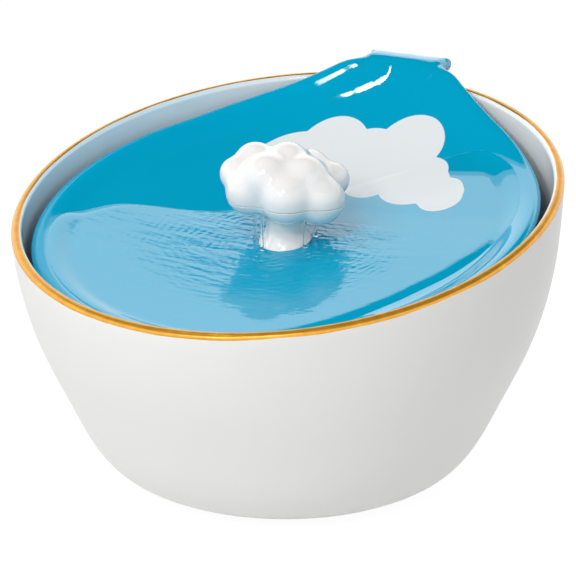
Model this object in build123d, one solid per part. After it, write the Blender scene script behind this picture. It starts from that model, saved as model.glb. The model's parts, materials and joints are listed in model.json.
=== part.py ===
"""Ceramic pet water fountain: slanted bowl, glazed tray with a hooked tab, cloud spout, pump and filter.

Millimetres, +Z up. The origin is the centre of the bowl's flat base. +Y runs to the high side of the
rim, where the tray's tab hooks over it, and -Y to the low side, where the animal drinks.
"""

import math
import os

from build123d import *

# ---------------------------------------------------------------- driving dimensions

# Bowl: a turned profile (radius, height) whose rim is cut by a slanting plane.
BASE_RADIUS = 58.0
HEEL_RADIUS, HEEL_HEIGHT = 75.6, 8.6
BELLY_RADIUS, BELLY_HEIGHT = 94.8, 38.0
WAIST_RADIUS, WAIST_HEIGHT = 106.7, 63.5
SHOULDER_RADIUS, SHOULDER_HEIGHT = 115.8, 95.0
RIM_RADIUS = 119.0
RIM_FRONT_HEIGHT = 100.0
RIM_BACK_HEIGHT = 153.2
BOWL_WALL = 4.6
BOWL_FLOOR = 8.0
RIM_ROUND = 2.1
FLOOR_ROUND = 6.0
FOOT_ROUND = 1.5

# Notch in the high side of the rim, where the pump's lead leaves.
NOTCH_WIDTH = 9.0
NOTCH_DEPTH = 8.0

# Tray: a dished plate inside the bowl, with a raised lip and a tab that climbs over the rim.
TRAY_GAP = 4.9  # between the tray's edge and the bowl's wall, at the rim
TRAY_WALL = 4.4
TRAY_EDGE_DROP = 7.0  # the lip's top lies this far below the rim's plane
TRAY_SAG = 14.0
TRAY_EDGE_ROUND = 1.6
TAB_HALF_WIDTH = 19.9
CREST_INSET = 1.4  # of the tab's crest from the rim's outside
TAB_LENGTH = 10.4  # from the crest to the end of the hook
RAMP_LENGTH = 55.6  # from where the dish starts to climb to the crest
TAB_RISE = 8.3  # of the crest above the rim's high side
CREST_SOFTNESS = 2.4
HOOK_BEAD = 2.9
TAB_CORNER = 3.0
SEAT_GAP = 0.3  # between unfixed ceramic pieces

# Spout: a stem that drops through the tray, and a hollow cloud in two halves.
SPOUT_BORE = 4.0
STEM_RADIUS = 8.4
STEM_FOOT_RADIUS = 11.6
STEM_FLARE = 6.0
SPIGOT_RADIUS = 8.6
SPIGOT_CLEARANCE = 0.4
SPIGOT_LENGTH = 13.0
TAIL_LENGTH = 12.0
TAIL_CLEARANCE = 0.3
COLLAR_WALL = 3.6
COLLAR_LENGTH = 8.0
SEAL_SECTION = 0.75
HOSE_WALL = 2.0
HOSE_GAP = 2.0  # between the hose's end and the spigot's shoulder
CLOUD_LIFT = 26.2  # from the tray's middle to the cloud's centre
CLOUD_SPLIT = -6.5  # the joint between the halves, from the cloud's centre
CHAMBER_RADIUS = 16.0
CHAMBER_FLOOR = -9.0
CHAMBER_ROOF = 5.0
CHAMBER_ROUND = 6.0
ROSE_PLATE = 1.6  # under the chamber, with the rain holes
SOCKET_WALL = 1.8
SOCKET_HEIGHT = 2.4
RAIN_HOLES = 8
RAIN_RADIUS = 13.0
RAIN_HOLE = 0.9
# Cloud lobes: sideways, back, up from the cloud's centre, and radius.
CLOUD_LOBES = {
    "front_left": (-11.0, -12.5, -2.2, 9.6),
    "front": (7.0, -12.5, -3.0, 10.7),
    "front_right": (17.9, -2.6, -4.4, 10.4),
    "right": (14.7, 16.3, -0.7, 7.1),
    "back_right": (5.8, 19.7, -3.2, 8.2),
    "back": (-7.2, 16.5, -3.2, 9.6),
    "back_left": (-17.8, 6.6, -2.1, 8.7),
    "left": (-19.3, -8.6, 3.7, 6.9),
    "top_left": (-14.8, 0.8, 6.4, 9.0),
    "top_front": (-3.6, -10.9, 4.3, 10.4),
    "top": (-0.3, 2.6, 7.0, 9.7),
    "top_right": (10.3, -2.5, 2.7, 10.7),
    "top_back": (5.2, 14.0, 4.4, 7.2),
}
CLOUD_CORE = (21.0, 20.0, 12.6)

# Pump: submersible, lying on its side along Y, with the outlet on the spout's axis.
CUP_HEIGHT = 5.0
CUP_RADIUS = 6.0
CUP_NECK_RADIUS = 2.2
CUP_NECK_LENGTH = 1.2
CUP_SHOULDER = 1.2
CUP_RIM = 0.8
CUP_HOLLOW = 2.2
PUMP_WIDTH = 44.0
PUMP_HEIGHT = 37.0
PUMP_FRONT = -8.0
PUMP_BACK = 30.0
PUMP_WALL = 2.0
PUMP_ROUND = 4.0
ROTOR_HEIGHT = 19.0  # the rotor's axis above the pump's underside
VOLUTE_RADIUS = 14.5
VOLUTE_END = 4.0
WELL_RADIUS = 6.6
WELL_WALL = 1.2
WELL_END = 24.0
BACK_PLATE = 2.0
OUTLET_RADIUS = 6.0
OUTLET_BORE = 4.0
OUTLET_LENGTH = 12.0
SHAFT_RADIUS = 1.0
SHAFT_CLEARANCE = 0.06
BUSH_RADIUS = 3.0
BUSH_LENGTH = 3.0
BUSH_SKIN = 0.6  # behind each blind bore
MAGNET_RADIUS = 5.8
ROTOR_PLAY = 0.5  # between the rotor and each bush
IMPELLER_RADIUS = 12.4
IMPELLER_DISC_RADIUS = 8.0
IMPELLER_DISC = 2.0
IMPELLER_HUB = 2.6
IMPELLER_FRONT = -3.4
IMPELLER_GAP = 0.4  # between the impeller's disc and the volute's back
BLADES = 5
BLADE_THICKNESS = 1.2
COVER_PLATE = 2.0
COVER_SPIGOT = 2.0
COVER_FIT = 0.25
COVER_SEAL = 0.6
INTAKE_RADIUS = 8.4
HUB_RADIUS = 4.4
SPOKES = 3
SPOKE_WIDTH = 2.0
DIAL_PLATE = 1.6
DIAL_RADIUS = 11.5
DIAL_PIVOT = 1.8
DIAL_HEAD = 2.8
DIAL_HEAD_LENGTH = 0.8
DIAL_FIT = 0.05
DIAL_ARM_WIDTH = 5.0
DIAL_ARM_REACH = 22.5
DIAL_TURN = 40.0

# Stator: a U-shaped lamination stack with one coil, potted in the housing.
CORE_HALF_WIDTH = 16.0
CORE_LEG = 9.0
CORE_YOKE = 4.5
CORE_FRONT, CORE_BACK = 9.0, 25.0
CORE_TOP = 29.0  # above the pump's underside
CORE_BOTTOM = 5.0
COIL_HALF_WIDTH = 6.4
BOBBIN_WALL = 0.6
WINDING_DEPTH = 1.1
GLAND_RADIUS = 4.0
GLAND_LENGTH = 9.0
GLAND_SIDE = 11.0
GLAND_HEIGHT = 8.0

# Filter box: clips to the pump's intake, with a foam block, a carbon cartridge and a slotted cover.
BOX_WIDTH = 48.0
BOX_HEIGHT = 37.0
BOX_BACK = -13.2
BOX_DEPTH = 23.0
BOX_WALL = 2.0
BOX_STANDOFF_RADIUS = 2.4
CARTRIDGE_DEPTH = 7.6
CARTRIDGE_SIDE = 1.5  # from its sides to the box's
CARTRIDGE_FRAME = 2.4
CARTRIDGE_TAB = 7.0
CARTRIDGE_TAB_WIDTH = 16.0
FOAM_FIT = 0.5
GRILLE_PLATE = 2.4
GRILLE_LIP = 2.2
GRILLE_LIP_WALL = 1.2
GRILLE_SLOTS = 7
GRILLE_SLOT_WIDTH = 3.0
GRILLE_SLOT_HEIGHT = 25.0

# ---------------------------------------------------------------- places worked out from them

RIM_SLOPE = (RIM_BACK_HEIGHT - RIM_FRONT_HEIGHT) / (2 * RIM_RADIUS)
RIM_MID_HEIGHT = (RIM_BACK_HEIGHT + RIM_FRONT_HEIGHT) / 2
TRAY_RADIUS = RIM_RADIUS - BOWL_WALL - TRAY_GAP
TRAY_MID_HEIGHT = RIM_MID_HEIGHT - TRAY_EDGE_DROP
TAB_CREST = RIM_RADIUS - CREST_INSET
TAB_START = TAB_CREST - RAMP_LENGTH
TAB_HEIGHT = RIM_BACK_HEIGHT + TAB_RISE
TRAY_CENTRE = TRAY_MID_HEIGHT - TRAY_SAG
TAB_END = TAB_CREST + TAB_LENGTH
# The tray's straight sides run from the tab's corners to the circle, which they touch here.
TANGENT = math.acos(TRAY_RADIUS / math.hypot(TAB_HALF_WIDTH, TAB_CREST)) + math.atan2(
    TAB_HALF_WIDTH, TAB_CREST
)
CLOUD_CENTRE = TRAY_CENTRE + CLOUD_LIFT
SPLIT_HEIGHT = CLOUD_CENTRE + CLOUD_SPLIT
TRAY_HOLE = SPIGOT_RADIUS + SPIGOT_CLEARANCE
SPIGOT_END = TRAY_CENTRE - SPIGOT_LENGTH
TAIL_END = SPIGOT_END - TAIL_LENGTH
TAIL_RADIUS = OUTLET_RADIUS - TAIL_CLEARANCE
HOSE_TOP = SPIGOT_END - HOSE_GAP
PUMP_BOTTOM = BOWL_FLOOR + CUP_HEIGHT
PUMP_TOP = PUMP_BOTTOM + PUMP_HEIGHT
ROTOR_AXIS = PUMP_BOTTOM + ROTOR_HEIGHT
OUTLET_TOP = PUMP_TOP + OUTLET_LENGTH
DISC_BACK = VOLUTE_END - IMPELLER_GAP
BOX_FRONT = BOX_BACK - BOX_DEPTH
BOX_TOP = PUMP_BOTTOM + BOX_HEIGHT
FAR = 400.0  # larger than anything here


# ---------------------------------------------------------------- helpers


def along_y(radius, y_from, y_to, x=0.0, z=0.0):
    """Cylinder along +Y between two y values."""
    body = Cylinder(radius, y_to - y_from, align=(Align.CENTER, Align.CENTER, Align.MIN))
    return Pos(x, y_from, z) * Rot(-90, 0, 0) * body


def along_z(radius, z_from, z_to, x=0.0, y=0.0):
    """Cylinder along +Z between two z values."""
    body = Cylinder(radius, z_to - z_from, align=(Align.CENTER, Align.CENTER, Align.MIN))
    return Pos(x, y, z_from) * body


def block(x, y, z):
    """Box from three (low, high) pairs."""
    size = [high - low for low, high in (x, y, z)]
    return Pos(x[0], y[0], z[0]) * Box(*size, align=(Align.MIN, Align.MIN, Align.MIN))


def turned(*parts):
    """Solid of revolution about Z from edges or points in the XZ plane that close an outline."""
    with BuildSketch(Plane.XZ) as sketch:
        with BuildLine():
            for part in parts:
                add(part)
        make_face()
    return revolve(sketch.sketch, Axis.Z)


def rim_plane(y, drop=0.0):
    """Height of the rim's slanting plane at y, less drop."""
    return RIM_MID_HEIGHT + RIM_SLOPE * y - drop


def above_rim(drop=0.0):
    """Everything above the slanting plane that lies drop below the rim."""
    tilt = math.degrees(math.atan(RIM_SLOPE))
    half_space = Box(FAR, FAR, FAR, align=(Align.CENTER, Align.CENTER, Align.MIN))
    return Pos(0, 0, rim_plane(0, drop)) * Rot(tilt, 0, 0) * half_space


# ---------------------------------------------------------------- bowl


def bowl_outline():
    """The wall's outer curve, from the base's edge to above the high side of the rim."""
    return Spline(
        (BASE_RADIUS, 0),
        (HEEL_RADIUS, HEEL_HEIGHT),
        (BELLY_RADIUS, BELLY_HEIGHT),
        (WAIST_RADIUS, WAIST_HEIGHT),
        (SHOULDER_RADIUS, SHOULDER_HEIGHT),
        (RIM_RADIUS, RIM_MID_HEIGHT),
        (RIM_RADIUS + BOWL_WALL / 4, RIM_BACK_HEIGHT + BOWL_WALL),
    )


def inner_outline():
    """The wall's inner curve, one wall inside the outer one."""
    outer = bowl_outline()
    points = []
    for i in range(13):
        step = 0.04 + 0.08 * i
        place, run = outer @ step, (outer % step).normalized()
        points.append((place.X - BOWL_WALL * run.Y, place.Y + BOWL_WALL * run.X))
    return Spline(*points)


def make_bowl():
    outer, inner = bowl_outline(), inner_outline()
    foot, top = outer @ 0, outer @ 1
    body = turned(Polyline((0, top.Y), (0, 0), (foot.X, 0)), outer, Line((top.X, top.Y), (0, top.Y)))
    low, high = inner @ 0, inner @ 1
    cavity = turned(Polyline((high.X, high.Y), (0, high.Y), (0, low.Y), (low.X, low.Y)), inner)
    cavity -= block((-FAR, FAR), (-FAR, FAR), (-FAR, BOWL_FLOOR))
    bowl = Rot(0, 0, -90) * (body - cavity) - above_rim()
    loops = bowl.edges().filter_by(GeomType.LINE, reverse=True).sort_by(Edge.length)
    rim_loops = [edge for edge in loops if edge.is_closed and edge.center().Z > RIM_FRONT_HEIGHT]
    bowl = fillet(rim_loops, min(RIM_ROUND, 0.46 * BOWL_WALL))
    floor_loop = bowl.edges().filter_by(lambda edge: edge.is_closed).sort_by(
        lambda edge: abs(edge.center().Z - BOWL_FLOOR)
    )[0]
    bowl = fillet(floor_loop, FLOOR_ROUND)
    foot_loop = bowl.edges().filter_by(lambda edge: edge.is_closed).sort_by(Axis.Z)[0]
    bowl = fillet(foot_loop, FOOT_ROUND)
    level = rim_plane(RIM_RADIUS) - NOTCH_DEPTH + NOTCH_WIDTH / 2
    reach = (RIM_RADIUS - 20, RIM_RADIUS + 5)
    notch = along_y(NOTCH_WIDTH / 2, *reach, 0, level)
    notch += block((-NOTCH_WIDTH / 2, NOTCH_WIDTH / 2), reach, (level, FAR))
    return bowl - notch


# ---------------------------------------------------------------- tray


def tray_rise(y):
    """Height of the tray's upper surface on its centre line: a slanting dish, then a ramp to the crest."""
    height = TRAY_MID_HEIGHT + RIM_SLOPE * y + TRAY_SAG * ((y / TRAY_RADIUS) ** 2 - 1)
    crest = TRAY_MID_HEIGHT + RIM_SLOPE * TAB_CREST + TRAY_SAG * ((TAB_CREST / TRAY_RADIUS) ** 2 - 1)
    climb = max(0.0, (y - TAB_START) / (TAB_CREST - TAB_START))
    height += (TAB_HEIGHT + CREST_SOFTNESS / 2 - crest) * climb**2
    over = height - TAB_HEIGHT
    return TAB_HEIGHT + (over - math.hypot(over, CREST_SOFTNESS)) / 2


def tray_strip(y, over, under):
    """Cross-section of the tray's plate at y: two parabolas, over and under the upper surface."""
    half = TRAY_RADIUS * 1.15
    curl = TRAY_SAG * (half / TRAY_RADIUS) ** 2
    slope = tray_rise(y + 0.5) - tray_rise(y - 0.5)
    top = tray_rise(y) + over
    low = tray_rise(y) - under * math.hypot(1, slope)
    upper = Bezier((-half, y, top + curl), (0, y, top - curl), (half, y, top + curl))
    lower = Bezier((-half, y, low + curl), (0, y, low - curl), (half, y, low + curl))
    return Wire([upper, Line(upper @ 1, lower @ 1), lower, Line(lower @ 0, upper @ 0)])


def tray_slab(over, under):
    """Solid between two surfaces that follow the tray's upper surface."""
    ramp = TAB_CREST - TAB_START
    places = [-1.15 * TRAY_RADIUS, -0.8 * TRAY_RADIUS, -0.4 * TRAY_RADIUS, 0, TAB_START - ramp / 2]
    places += [TAB_START + ramp * step for step in (-0.2, 0, 0.2, 0.4, 0.6, 0.75, 0.85, 0.92, 1.0)]
    places += [TAB_CREST + TAB_LENGTH * step for step in (0.2, 0.4, 0.7, 1.3)]
    return Solid.make_loft([tray_strip(y, over, under) for y in places])


def tray_plan():
    """The tray's outline from above: a circle, two straight sides and the tab's square end."""
    touch_x, touch_y = TRAY_RADIUS * math.sin(TANGENT), TRAY_RADIUS * math.cos(TANGENT)
    with BuildSketch() as plan:
        with BuildLine():
            Polyline(
                (touch_x, touch_y),
                (TAB_HALF_WIDTH, TAB_CREST),
                (TAB_HALF_WIDTH, TAB_END),
                (-TAB_HALF_WIDTH, TAB_END),
                (-TAB_HALF_WIDTH, TAB_CREST),
                (-touch_x, touch_y),
            )
            ThreePointArc((-touch_x, touch_y), (0, -TRAY_RADIUS), (touch_x, touch_y))
        make_face()
        fillet(plan.vertices().filter_by(lambda v: v.Y > TAB_END - 1), TAB_CORNER)
    return plan.sketch


def rim_clearance():
    """Room that the bowl's wall and rim take up, grown by the seat's gap."""
    inner = inner_outline()
    low, high = inner @ 0.4, inner @ 1
    room = turned(
        Polyline(
            (high.X - SEAT_GAP, high.Y),
            (FAR, high.Y),
            (FAR, low.Y),
            (low.X - SEAT_GAP, low.Y),
        ),
        Spline(*[((inner @ step).X - SEAT_GAP, (inner @ step).Y) for step in (0.4, 0.6, 0.8, 1)]),
    )
    return room - above_rim(-SEAT_GAP)


def make_tray():
    tray = extrude(tray_plan(), FAR) & tray_slab(0, TRAY_WALL)
    outline = tray.edges().filter_by(lambda edge: edge.length > 2 * TRAY_WALL)
    tray = fillet(outline, min(TRAY_EDGE_ROUND, 0.37 * TRAY_WALL))
    bead = Rot(0, 90, 0) * Cylinder(HOOK_BEAD, 2 * TAB_HALF_WIDTH - 0.2)
    bead = fillet(bead.edges(), HOOK_BEAD * 0.8)
    tray += Pos(0, TAB_END - HOOK_BEAD, TAB_HEIGHT - HOOK_BEAD) * bead
    collar = along_z(TRAY_HOLE + COLLAR_WALL, TRAY_CENTRE - TRAY_WALL - COLLAR_LENGTH, TRAY_CENTRE - 1)
    tray += collar & tray_slab(-TRAY_WALL / 2, 6 * COLLAR_LENGTH)
    tray -= along_z(TRAY_HOLE, 0, FAR)
    return tray - rim_clearance()


# ---------------------------------------------------------------- spout


def cloud_form():
    """The cloud's outer shape: overlapping round lobes about a flattened core."""
    core = Solid.make_sphere(1.0)
    form = Part() + scale(core, CLOUD_CORE)
    for x, y, z, radius in CLOUD_LOBES.values():
        away = Vector(x, y, 0).normalized()
        sideways = Vector(0, 0, 1).cross(away)
        form += Plane(origin=(x, y, z), x_dir=-away, z_dir=sideways) * Sphere(radius)
    return Pos(0, 0, CLOUD_CENTRE) * form


def make_spout(cloud):
    lower = cloud - block((-FAR, FAR), (-FAR, FAR), (SPLIT_HEIGHT, FAR))
    chamber_floor = CLOUD_CENTRE + CHAMBER_FLOOR
    foot = TRAY_CENTRE - 4
    stem = along_z(STEM_RADIUS, foot, chamber_floor)
    flare = turned(
        Polyline(
            (STEM_RADIUS, TRAY_CENTRE + STEM_FLARE),
            (0, TRAY_CENTRE + STEM_FLARE),
            (0, foot),
            (STEM_FOOT_RADIUS, foot),
            (STEM_FOOT_RADIUS, TRAY_CENTRE + 1),
        ),
        ThreePointArc(
            (STEM_FOOT_RADIUS, TRAY_CENTRE + 1),
            (STEM_RADIUS + 0.8, TRAY_CENTRE + 2.6),
            (STEM_RADIUS, TRAY_CENTRE + STEM_FLARE),
        ),
    )
    stem += flare
    stem -= Pos(0, 0, SEAT_GAP) * tray_slab(0, 8 * TRAY_WALL)
    stem += along_z(SPIGOT_RADIUS, SPIGOT_END, TRAY_CENTRE + 2)
    stem += along_z(TAIL_RADIUS, TAIL_END, SPIGOT_END)
    cup_radius = CHAMBER_RADIUS + SOCKET_WALL
    cup = along_z(cup_radius, chamber_floor - ROSE_PLATE, SPLIT_HEIGHT + SOCKET_HEIGHT)
    spout = lower + stem + cup - along_z(CHAMBER_RADIUS, chamber_floor, FAR)
    spout -= along_z(SPOUT_BORE, 0, FAR)
    for i in range(RAIN_HOLES):
        angle = 2 * math.pi * (i + 0.5) / RAIN_HOLES
        x, y = RAIN_RADIUS * math.cos(angle), RAIN_RADIUS * math.sin(angle)
        spout -= along_z(RAIN_HOLE, TRAY_CENTRE, FAR, x, y)
    groove_height = TRAY_CENTRE - TRAY_WALL - COLLAR_LENGTH / 2
    spout -= Pos(0, 0, groove_height) * Torus(SPIGOT_RADIUS - SEAL_SECTION / 2, SEAL_SECTION)
    return spout


def make_stem_seal():
    groove_height = TRAY_CENTRE - TRAY_WALL - COLLAR_LENGTH / 2
    return Pos(0, 0, groove_height) * Torus(SPIGOT_RADIUS - SEAL_SECTION / 2, SEAL_SECTION)


def make_cloud_cap(cloud):
    cap = cloud - block((-FAR, FAR), (-FAR, FAR), (-FAR, SPLIT_HEIGHT + SEAT_GAP))
    recess = CHAMBER_RADIUS + SOCKET_WALL + SEAT_GAP
    cap -= along_z(recess, 0, SPLIT_HEIGHT + SOCKET_HEIGHT + SEAT_GAP)
    roof = CLOUD_CENTRE + CHAMBER_ROOF
    hollow = fillet(along_z(CHAMBER_RADIUS, 0, roof).edges().sort_by(Axis.Z)[-1], CHAMBER_ROUND)
    return cap - hollow


# ---------------------------------------------------------------- pump


def rounded_box(x, y, z, radius):
    """Box whose four edges along Y are rounded."""
    body = block(x, y, z)
    return fillet(body.edges().filter_by(Axis.Y), radius)


def make_pump_housing():
    half = PUMP_WIDTH / 2
    body = rounded_box((-half, half), (PUMP_FRONT, PUMP_BACK), (PUMP_BOTTOM, PUMP_TOP), PUMP_ROUND)
    body += along_z(OUTLET_RADIUS + 1.5, PUMP_TOP - 3, PUMP_TOP + 1)
    body += along_z(OUTLET_RADIUS, PUMP_TOP - 3, OUTLET_TOP)
    body -= stator_space()
    body -= along_y(VOLUTE_RADIUS, PUMP_FRONT, VOLUTE_END, 0, ROTOR_AXIS)
    body -= along_z(OUTLET_BORE, ROTOR_AXIS + VOLUTE_RADIUS - 3, OUTLET_TOP)
    body -= along_y(WELL_RADIUS, VOLUTE_END, WELL_END, 0, ROTOR_AXIS)
    body -= along_y(BUSH_RADIUS, WELL_END, WELL_END + BUSH_LENGTH, 0, ROTOR_AXIS)
    for x, y in cup_places():
        body -= along_z(CUP_NECK_RADIUS, PUMP_BOTTOM, PUMP_BOTTOM + CUP_NECK_LENGTH, x, y)
    return body


def stator_space():
    """The room behind the volute that the stator and its potting fill."""
    half = PUMP_WIDTH / 2 - PUMP_WALL
    room = rounded_box(
        (-half, half),
        (VOLUTE_END + PUMP_WALL, PUMP_BACK),
        (PUMP_BOTTOM + PUMP_WALL, PUMP_TOP - PUMP_WALL),
        PUMP_ROUND - PUMP_WALL,
    )
    well_end = WELL_END + BUSH_LENGTH + WELL_WALL
    return room - along_y(WELL_RADIUS + WELL_WALL, VOLUTE_END, well_end, 0, ROTOR_AXIS)


def make_stator_core():
    half, low = CORE_HALF_WIDTH, PUMP_BOTTOM + CORE_BOTTOM
    core = block((-half, half), (CORE_FRONT, CORE_BACK), (low, PUMP_BOTTOM + CORE_TOP))
    inner = half - CORE_LEG
    core -= block((-inner, inner), (0, FAR), (low + CORE_YOKE, FAR))
    return core - along_y(WELL_RADIUS + WELL_WALL, 0, FAR, 0, ROTOR_AXIS)


def coil_sleeve(wall, half_width):
    """Ring round the core's yoke, wall thick."""
    low, high = PUMP_BOTTOM + CORE_BOTTOM, PUMP_BOTTOM + CORE_BOTTOM + CORE_YOKE
    return block(
        (-half_width, half_width),
        (CORE_FRONT - wall, CORE_BACK + wall),
        (low - wall, high + wall),
    ) - block((-FAR, FAR), (CORE_FRONT, CORE_BACK), (low, high))


def make_coil_bobbin():
    depth = BOBBIN_WALL + WINDING_DEPTH
    flanges = coil_sleeve(depth, COIL_HALF_WIDTH)
    inner = COIL_HALF_WIDTH - BOBBIN_WALL
    flanges -= block((-inner, inner), (-FAR, FAR), (-FAR, FAR))
    return flanges + coil_sleeve(BOBBIN_WALL, COIL_HALF_WIDTH)


def make_coil_winding():
    depth = BOBBIN_WALL + WINDING_DEPTH
    inner = COIL_HALF_WIDTH - BOBBIN_WALL
    return coil_sleeve(depth, inner) - coil_sleeve(BOBBIN_WALL, COIL_HALF_WIDTH)


def make_potting(core, bobbin, winding):
    room = stator_space() - block((-FAR, FAR), (PUMP_BACK - 0.2, FAR), (-FAR, FAR))
    room -= gland_body()
    return room - core - bobbin - winding


def gland_body():
    """Grommet that carries the lead through the back plate."""
    y = PUMP_BACK + BACK_PLATE
    height = PUMP_BOTTOM + GLAND_HEIGHT
    body = along_y(GLAND_RADIUS, PUMP_BACK - 3, y + 1.5, GLAND_SIDE, height)
    body -= along_y(GLAND_RADIUS + 1, PUMP_BACK, y, GLAND_SIDE, height) - along_y(
        GLAND_RADIUS - 1, PUMP_BACK, y, GLAND_SIDE, height
    )
    taper = Pos(GLAND_SIDE, y + 1.5, height) * Rot(-90, 0, 0) * Cone(
        GLAND_RADIUS - 0.8, 2.4, GLAND_LENGTH - 1.5, align=(Align.CENTER, Align.CENTER, Align.MIN)
    )
    return body + taper


def make_cable_gland():
    height = PUMP_BOTTOM + GLAND_HEIGHT
    return gland_body() - along_y(1.7, PUMP_BACK - 2, FAR, GLAND_SIDE, height)


def make_back_plate():
    sides = (-PUMP_WIDTH / 2, PUMP_WIDTH / 2)
    depth = (PUMP_BACK, PUMP_BACK + BACK_PLATE)
    plate = rounded_box(sides, depth, (PUMP_BOTTOM, PUMP_TOP), PUMP_ROUND)
    return plate - along_y(GLAND_RADIUS - 1, 0, FAR, GLAND_SIDE, PUMP_BOTTOM + GLAND_HEIGHT)


def make_rotor_magnet():
    magnet = along_y(MAGNET_RADIUS, DISC_BACK, WELL_END - ROTOR_PLAY, 0, ROTOR_AXIS)
    return magnet - along_y(SHAFT_RADIUS + SHAFT_CLEARANCE, 0, FAR, 0, ROTOR_AXIS)


def make_impeller():
    body = along_y(IMPELLER_DISC_RADIUS, DISC_BACK - IMPELLER_DISC, DISC_BACK, 0, ROTOR_AXIS)
    hub_front = front_bush_ends()[1] + ROTOR_PLAY
    body += along_y(IMPELLER_HUB, hub_front, DISC_BACK, 0, ROTOR_AXIS)
    for i in range(BLADES):
        blade = block(
            (SHAFT_RADIUS + 0.5, IMPELLER_RADIUS),
            (IMPELLER_FRONT, DISC_BACK),
            (-BLADE_THICKNESS / 2, BLADE_THICKNESS / 2),
        )
        body += Pos(0, 0, ROTOR_AXIS) * Rot(0, 360 * i / BLADES, 0) * blade
    return body - along_y(SHAFT_RADIUS + SHAFT_CLEARANCE, -FAR, FAR, 0, ROTOR_AXIS)


def make_rotor_shaft():
    front, back = front_bush_ends()[0] + BUSH_SKIN, WELL_END + BUSH_LENGTH - BUSH_SKIN
    return along_y(SHAFT_RADIUS, front, back, 0, ROTOR_AXIS)


def cover_front():
    """Where the volute cover's outer face lies."""
    return PUMP_FRONT - COVER_PLATE


def front_bush_ends():
    """The front bush's two y values, in a pocket of the volute cover's hub."""
    front = cover_front() + BUSH_SKIN
    return front, front + BUSH_LENGTH


def make_rear_bush():
    bush = along_y(BUSH_RADIUS, WELL_END, WELL_END + BUSH_LENGTH, 0, ROTOR_AXIS)
    return bush - along_y(SHAFT_RADIUS, WELL_END, WELL_END + BUSH_LENGTH - BUSH_SKIN, 0, ROTOR_AXIS)


def make_front_bush():
    front, back = front_bush_ends()
    bush = along_y(BUSH_RADIUS, front, back, 0, ROTOR_AXIS)
    return bush - along_y(SHAFT_RADIUS, front + BUSH_SKIN, back, 0, ROTOR_AXIS)


def make_volute_cover():
    half = PUMP_WIDTH / 2
    front = cover_front()
    cover = rounded_box((-half, half), (front, PUMP_FRONT), (PUMP_BOTTOM, PUMP_TOP), PUMP_ROUND)
    cover += along_y(VOLUTE_RADIUS - COVER_FIT, front, PUMP_FRONT + COVER_SPIGOT, 0, ROTOR_AXIS)
    cover -= along_y(INTAKE_RADIUS, -FAR, FAR, 0, ROTOR_AXIS)
    cover += along_y(HUB_RADIUS, front, front_bush_ends()[1], 0, ROTOR_AXIS)
    for i in range(SPOKES):
        spoke = block((0, INTAKE_RADIUS + 0.5), (front, PUMP_FRONT), (-SPOKE_WIDTH / 2, SPOKE_WIDTH / 2))
        cover += Pos(0, 0, ROTOR_AXIS) * Rot(0, 90 + 360 * i / SPOKES, 0) * spoke
    cover -= along_y(BUSH_RADIUS, front_bush_ends()[0], FAR, 0, ROTOR_AXIS)
    head_back = front - 2 * SEAT_GAP - DIAL_PLATE
    cover += along_y(DIAL_PIVOT, head_back, front, 0, ROTOR_AXIS)
    cover += along_y(DIAL_HEAD, head_back - DIAL_HEAD_LENGTH, head_back, 0, ROTOR_AXIS)
    return cover - make_volute_seal()


def make_volute_seal():
    seal_y = PUMP_FRONT + COVER_SPIGOT / 2
    ring = Torus(VOLUTE_RADIUS - COVER_SEAL, COVER_SEAL)
    return Pos(0, seal_y, ROTOR_AXIS) * Rot(90, 0, 0) * ring


def make_flow_dial():
    back = cover_front() - SEAT_GAP
    front = back - DIAL_PLATE
    dial = along_y(DIAL_RADIUS, front, back, 0, ROTOR_AXIS)
    window = Part()
    for i in range(SPOKES):
        spoke = block((0, FAR), (-FAR, FAR), (-SPOKE_WIDTH * 1.6, SPOKE_WIDTH * 1.6))
        window += Pos(0, 0, ROTOR_AXIS) * Rot(0, 90 + 360 * i / SPOKES, 0) * spoke
    ring = along_y(INTAKE_RADIUS - 0.6, front, back, 0, ROTOR_AXIS)
    ring -= along_y(HUB_RADIUS, -FAR, FAR, 0, ROTOR_AXIS)
    dial -= ring - window
    dial -= along_y(DIAL_PIVOT + DIAL_FIT, -FAR, FAR, 0, ROTOR_AXIS)
    arm = block(
        (-DIAL_ARM_WIDTH / 2, DIAL_ARM_WIDTH / 2),
        (front, back),
        (ROTOR_AXIS + DIAL_RADIUS - 1.5, ROTOR_AXIS + DIAL_ARM_REACH),
    )
    return dial + Pos(0, 0, ROTOR_AXIS) * Rot(0, -DIAL_TURN / 2, 0) * Pos(0, 0, -ROTOR_AXIS) * arm


def make_hose():
    hose = along_z(OUTLET_RADIUS + HOSE_WALL, PUMP_TOP + 1, HOSE_TOP)
    return hose - along_z(OUTLET_RADIUS, 0, FAR)


def cup_places():
    """Where the four suction cups sit under the pump."""
    x = PUMP_WIDTH / 2 - CUP_RADIUS - 1
    return [(side * x, y) for side in (-1, 1) for y in (PUMP_FRONT + 7, PUMP_BACK - 7)]


def make_suction_cup(x, y):
    low, neck_top = BOWL_FLOOR, PUMP_BOTTOM + CUP_NECK_LENGTH
    shoulder = CUP_NECK_RADIUS + CUP_SHOULDER
    cup = turned(
        Polyline(
            (0, low + CUP_HOLLOW),
            (0, neck_top),
            (CUP_NECK_RADIUS, neck_top),
            (CUP_NECK_RADIUS, PUMP_BOTTOM),
            (shoulder, PUMP_BOTTOM),
            (shoulder, low + CUP_HOLLOW + 1),
            (CUP_RADIUS, low + CUP_RIM),
            (CUP_RADIUS, low),
            (CUP_RADIUS - CUP_RIM, low),
            (0, low + CUP_HOLLOW),
        )
    )
    return Pos(x, y, 0) * cup


# ---------------------------------------------------------------- filter box


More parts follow.
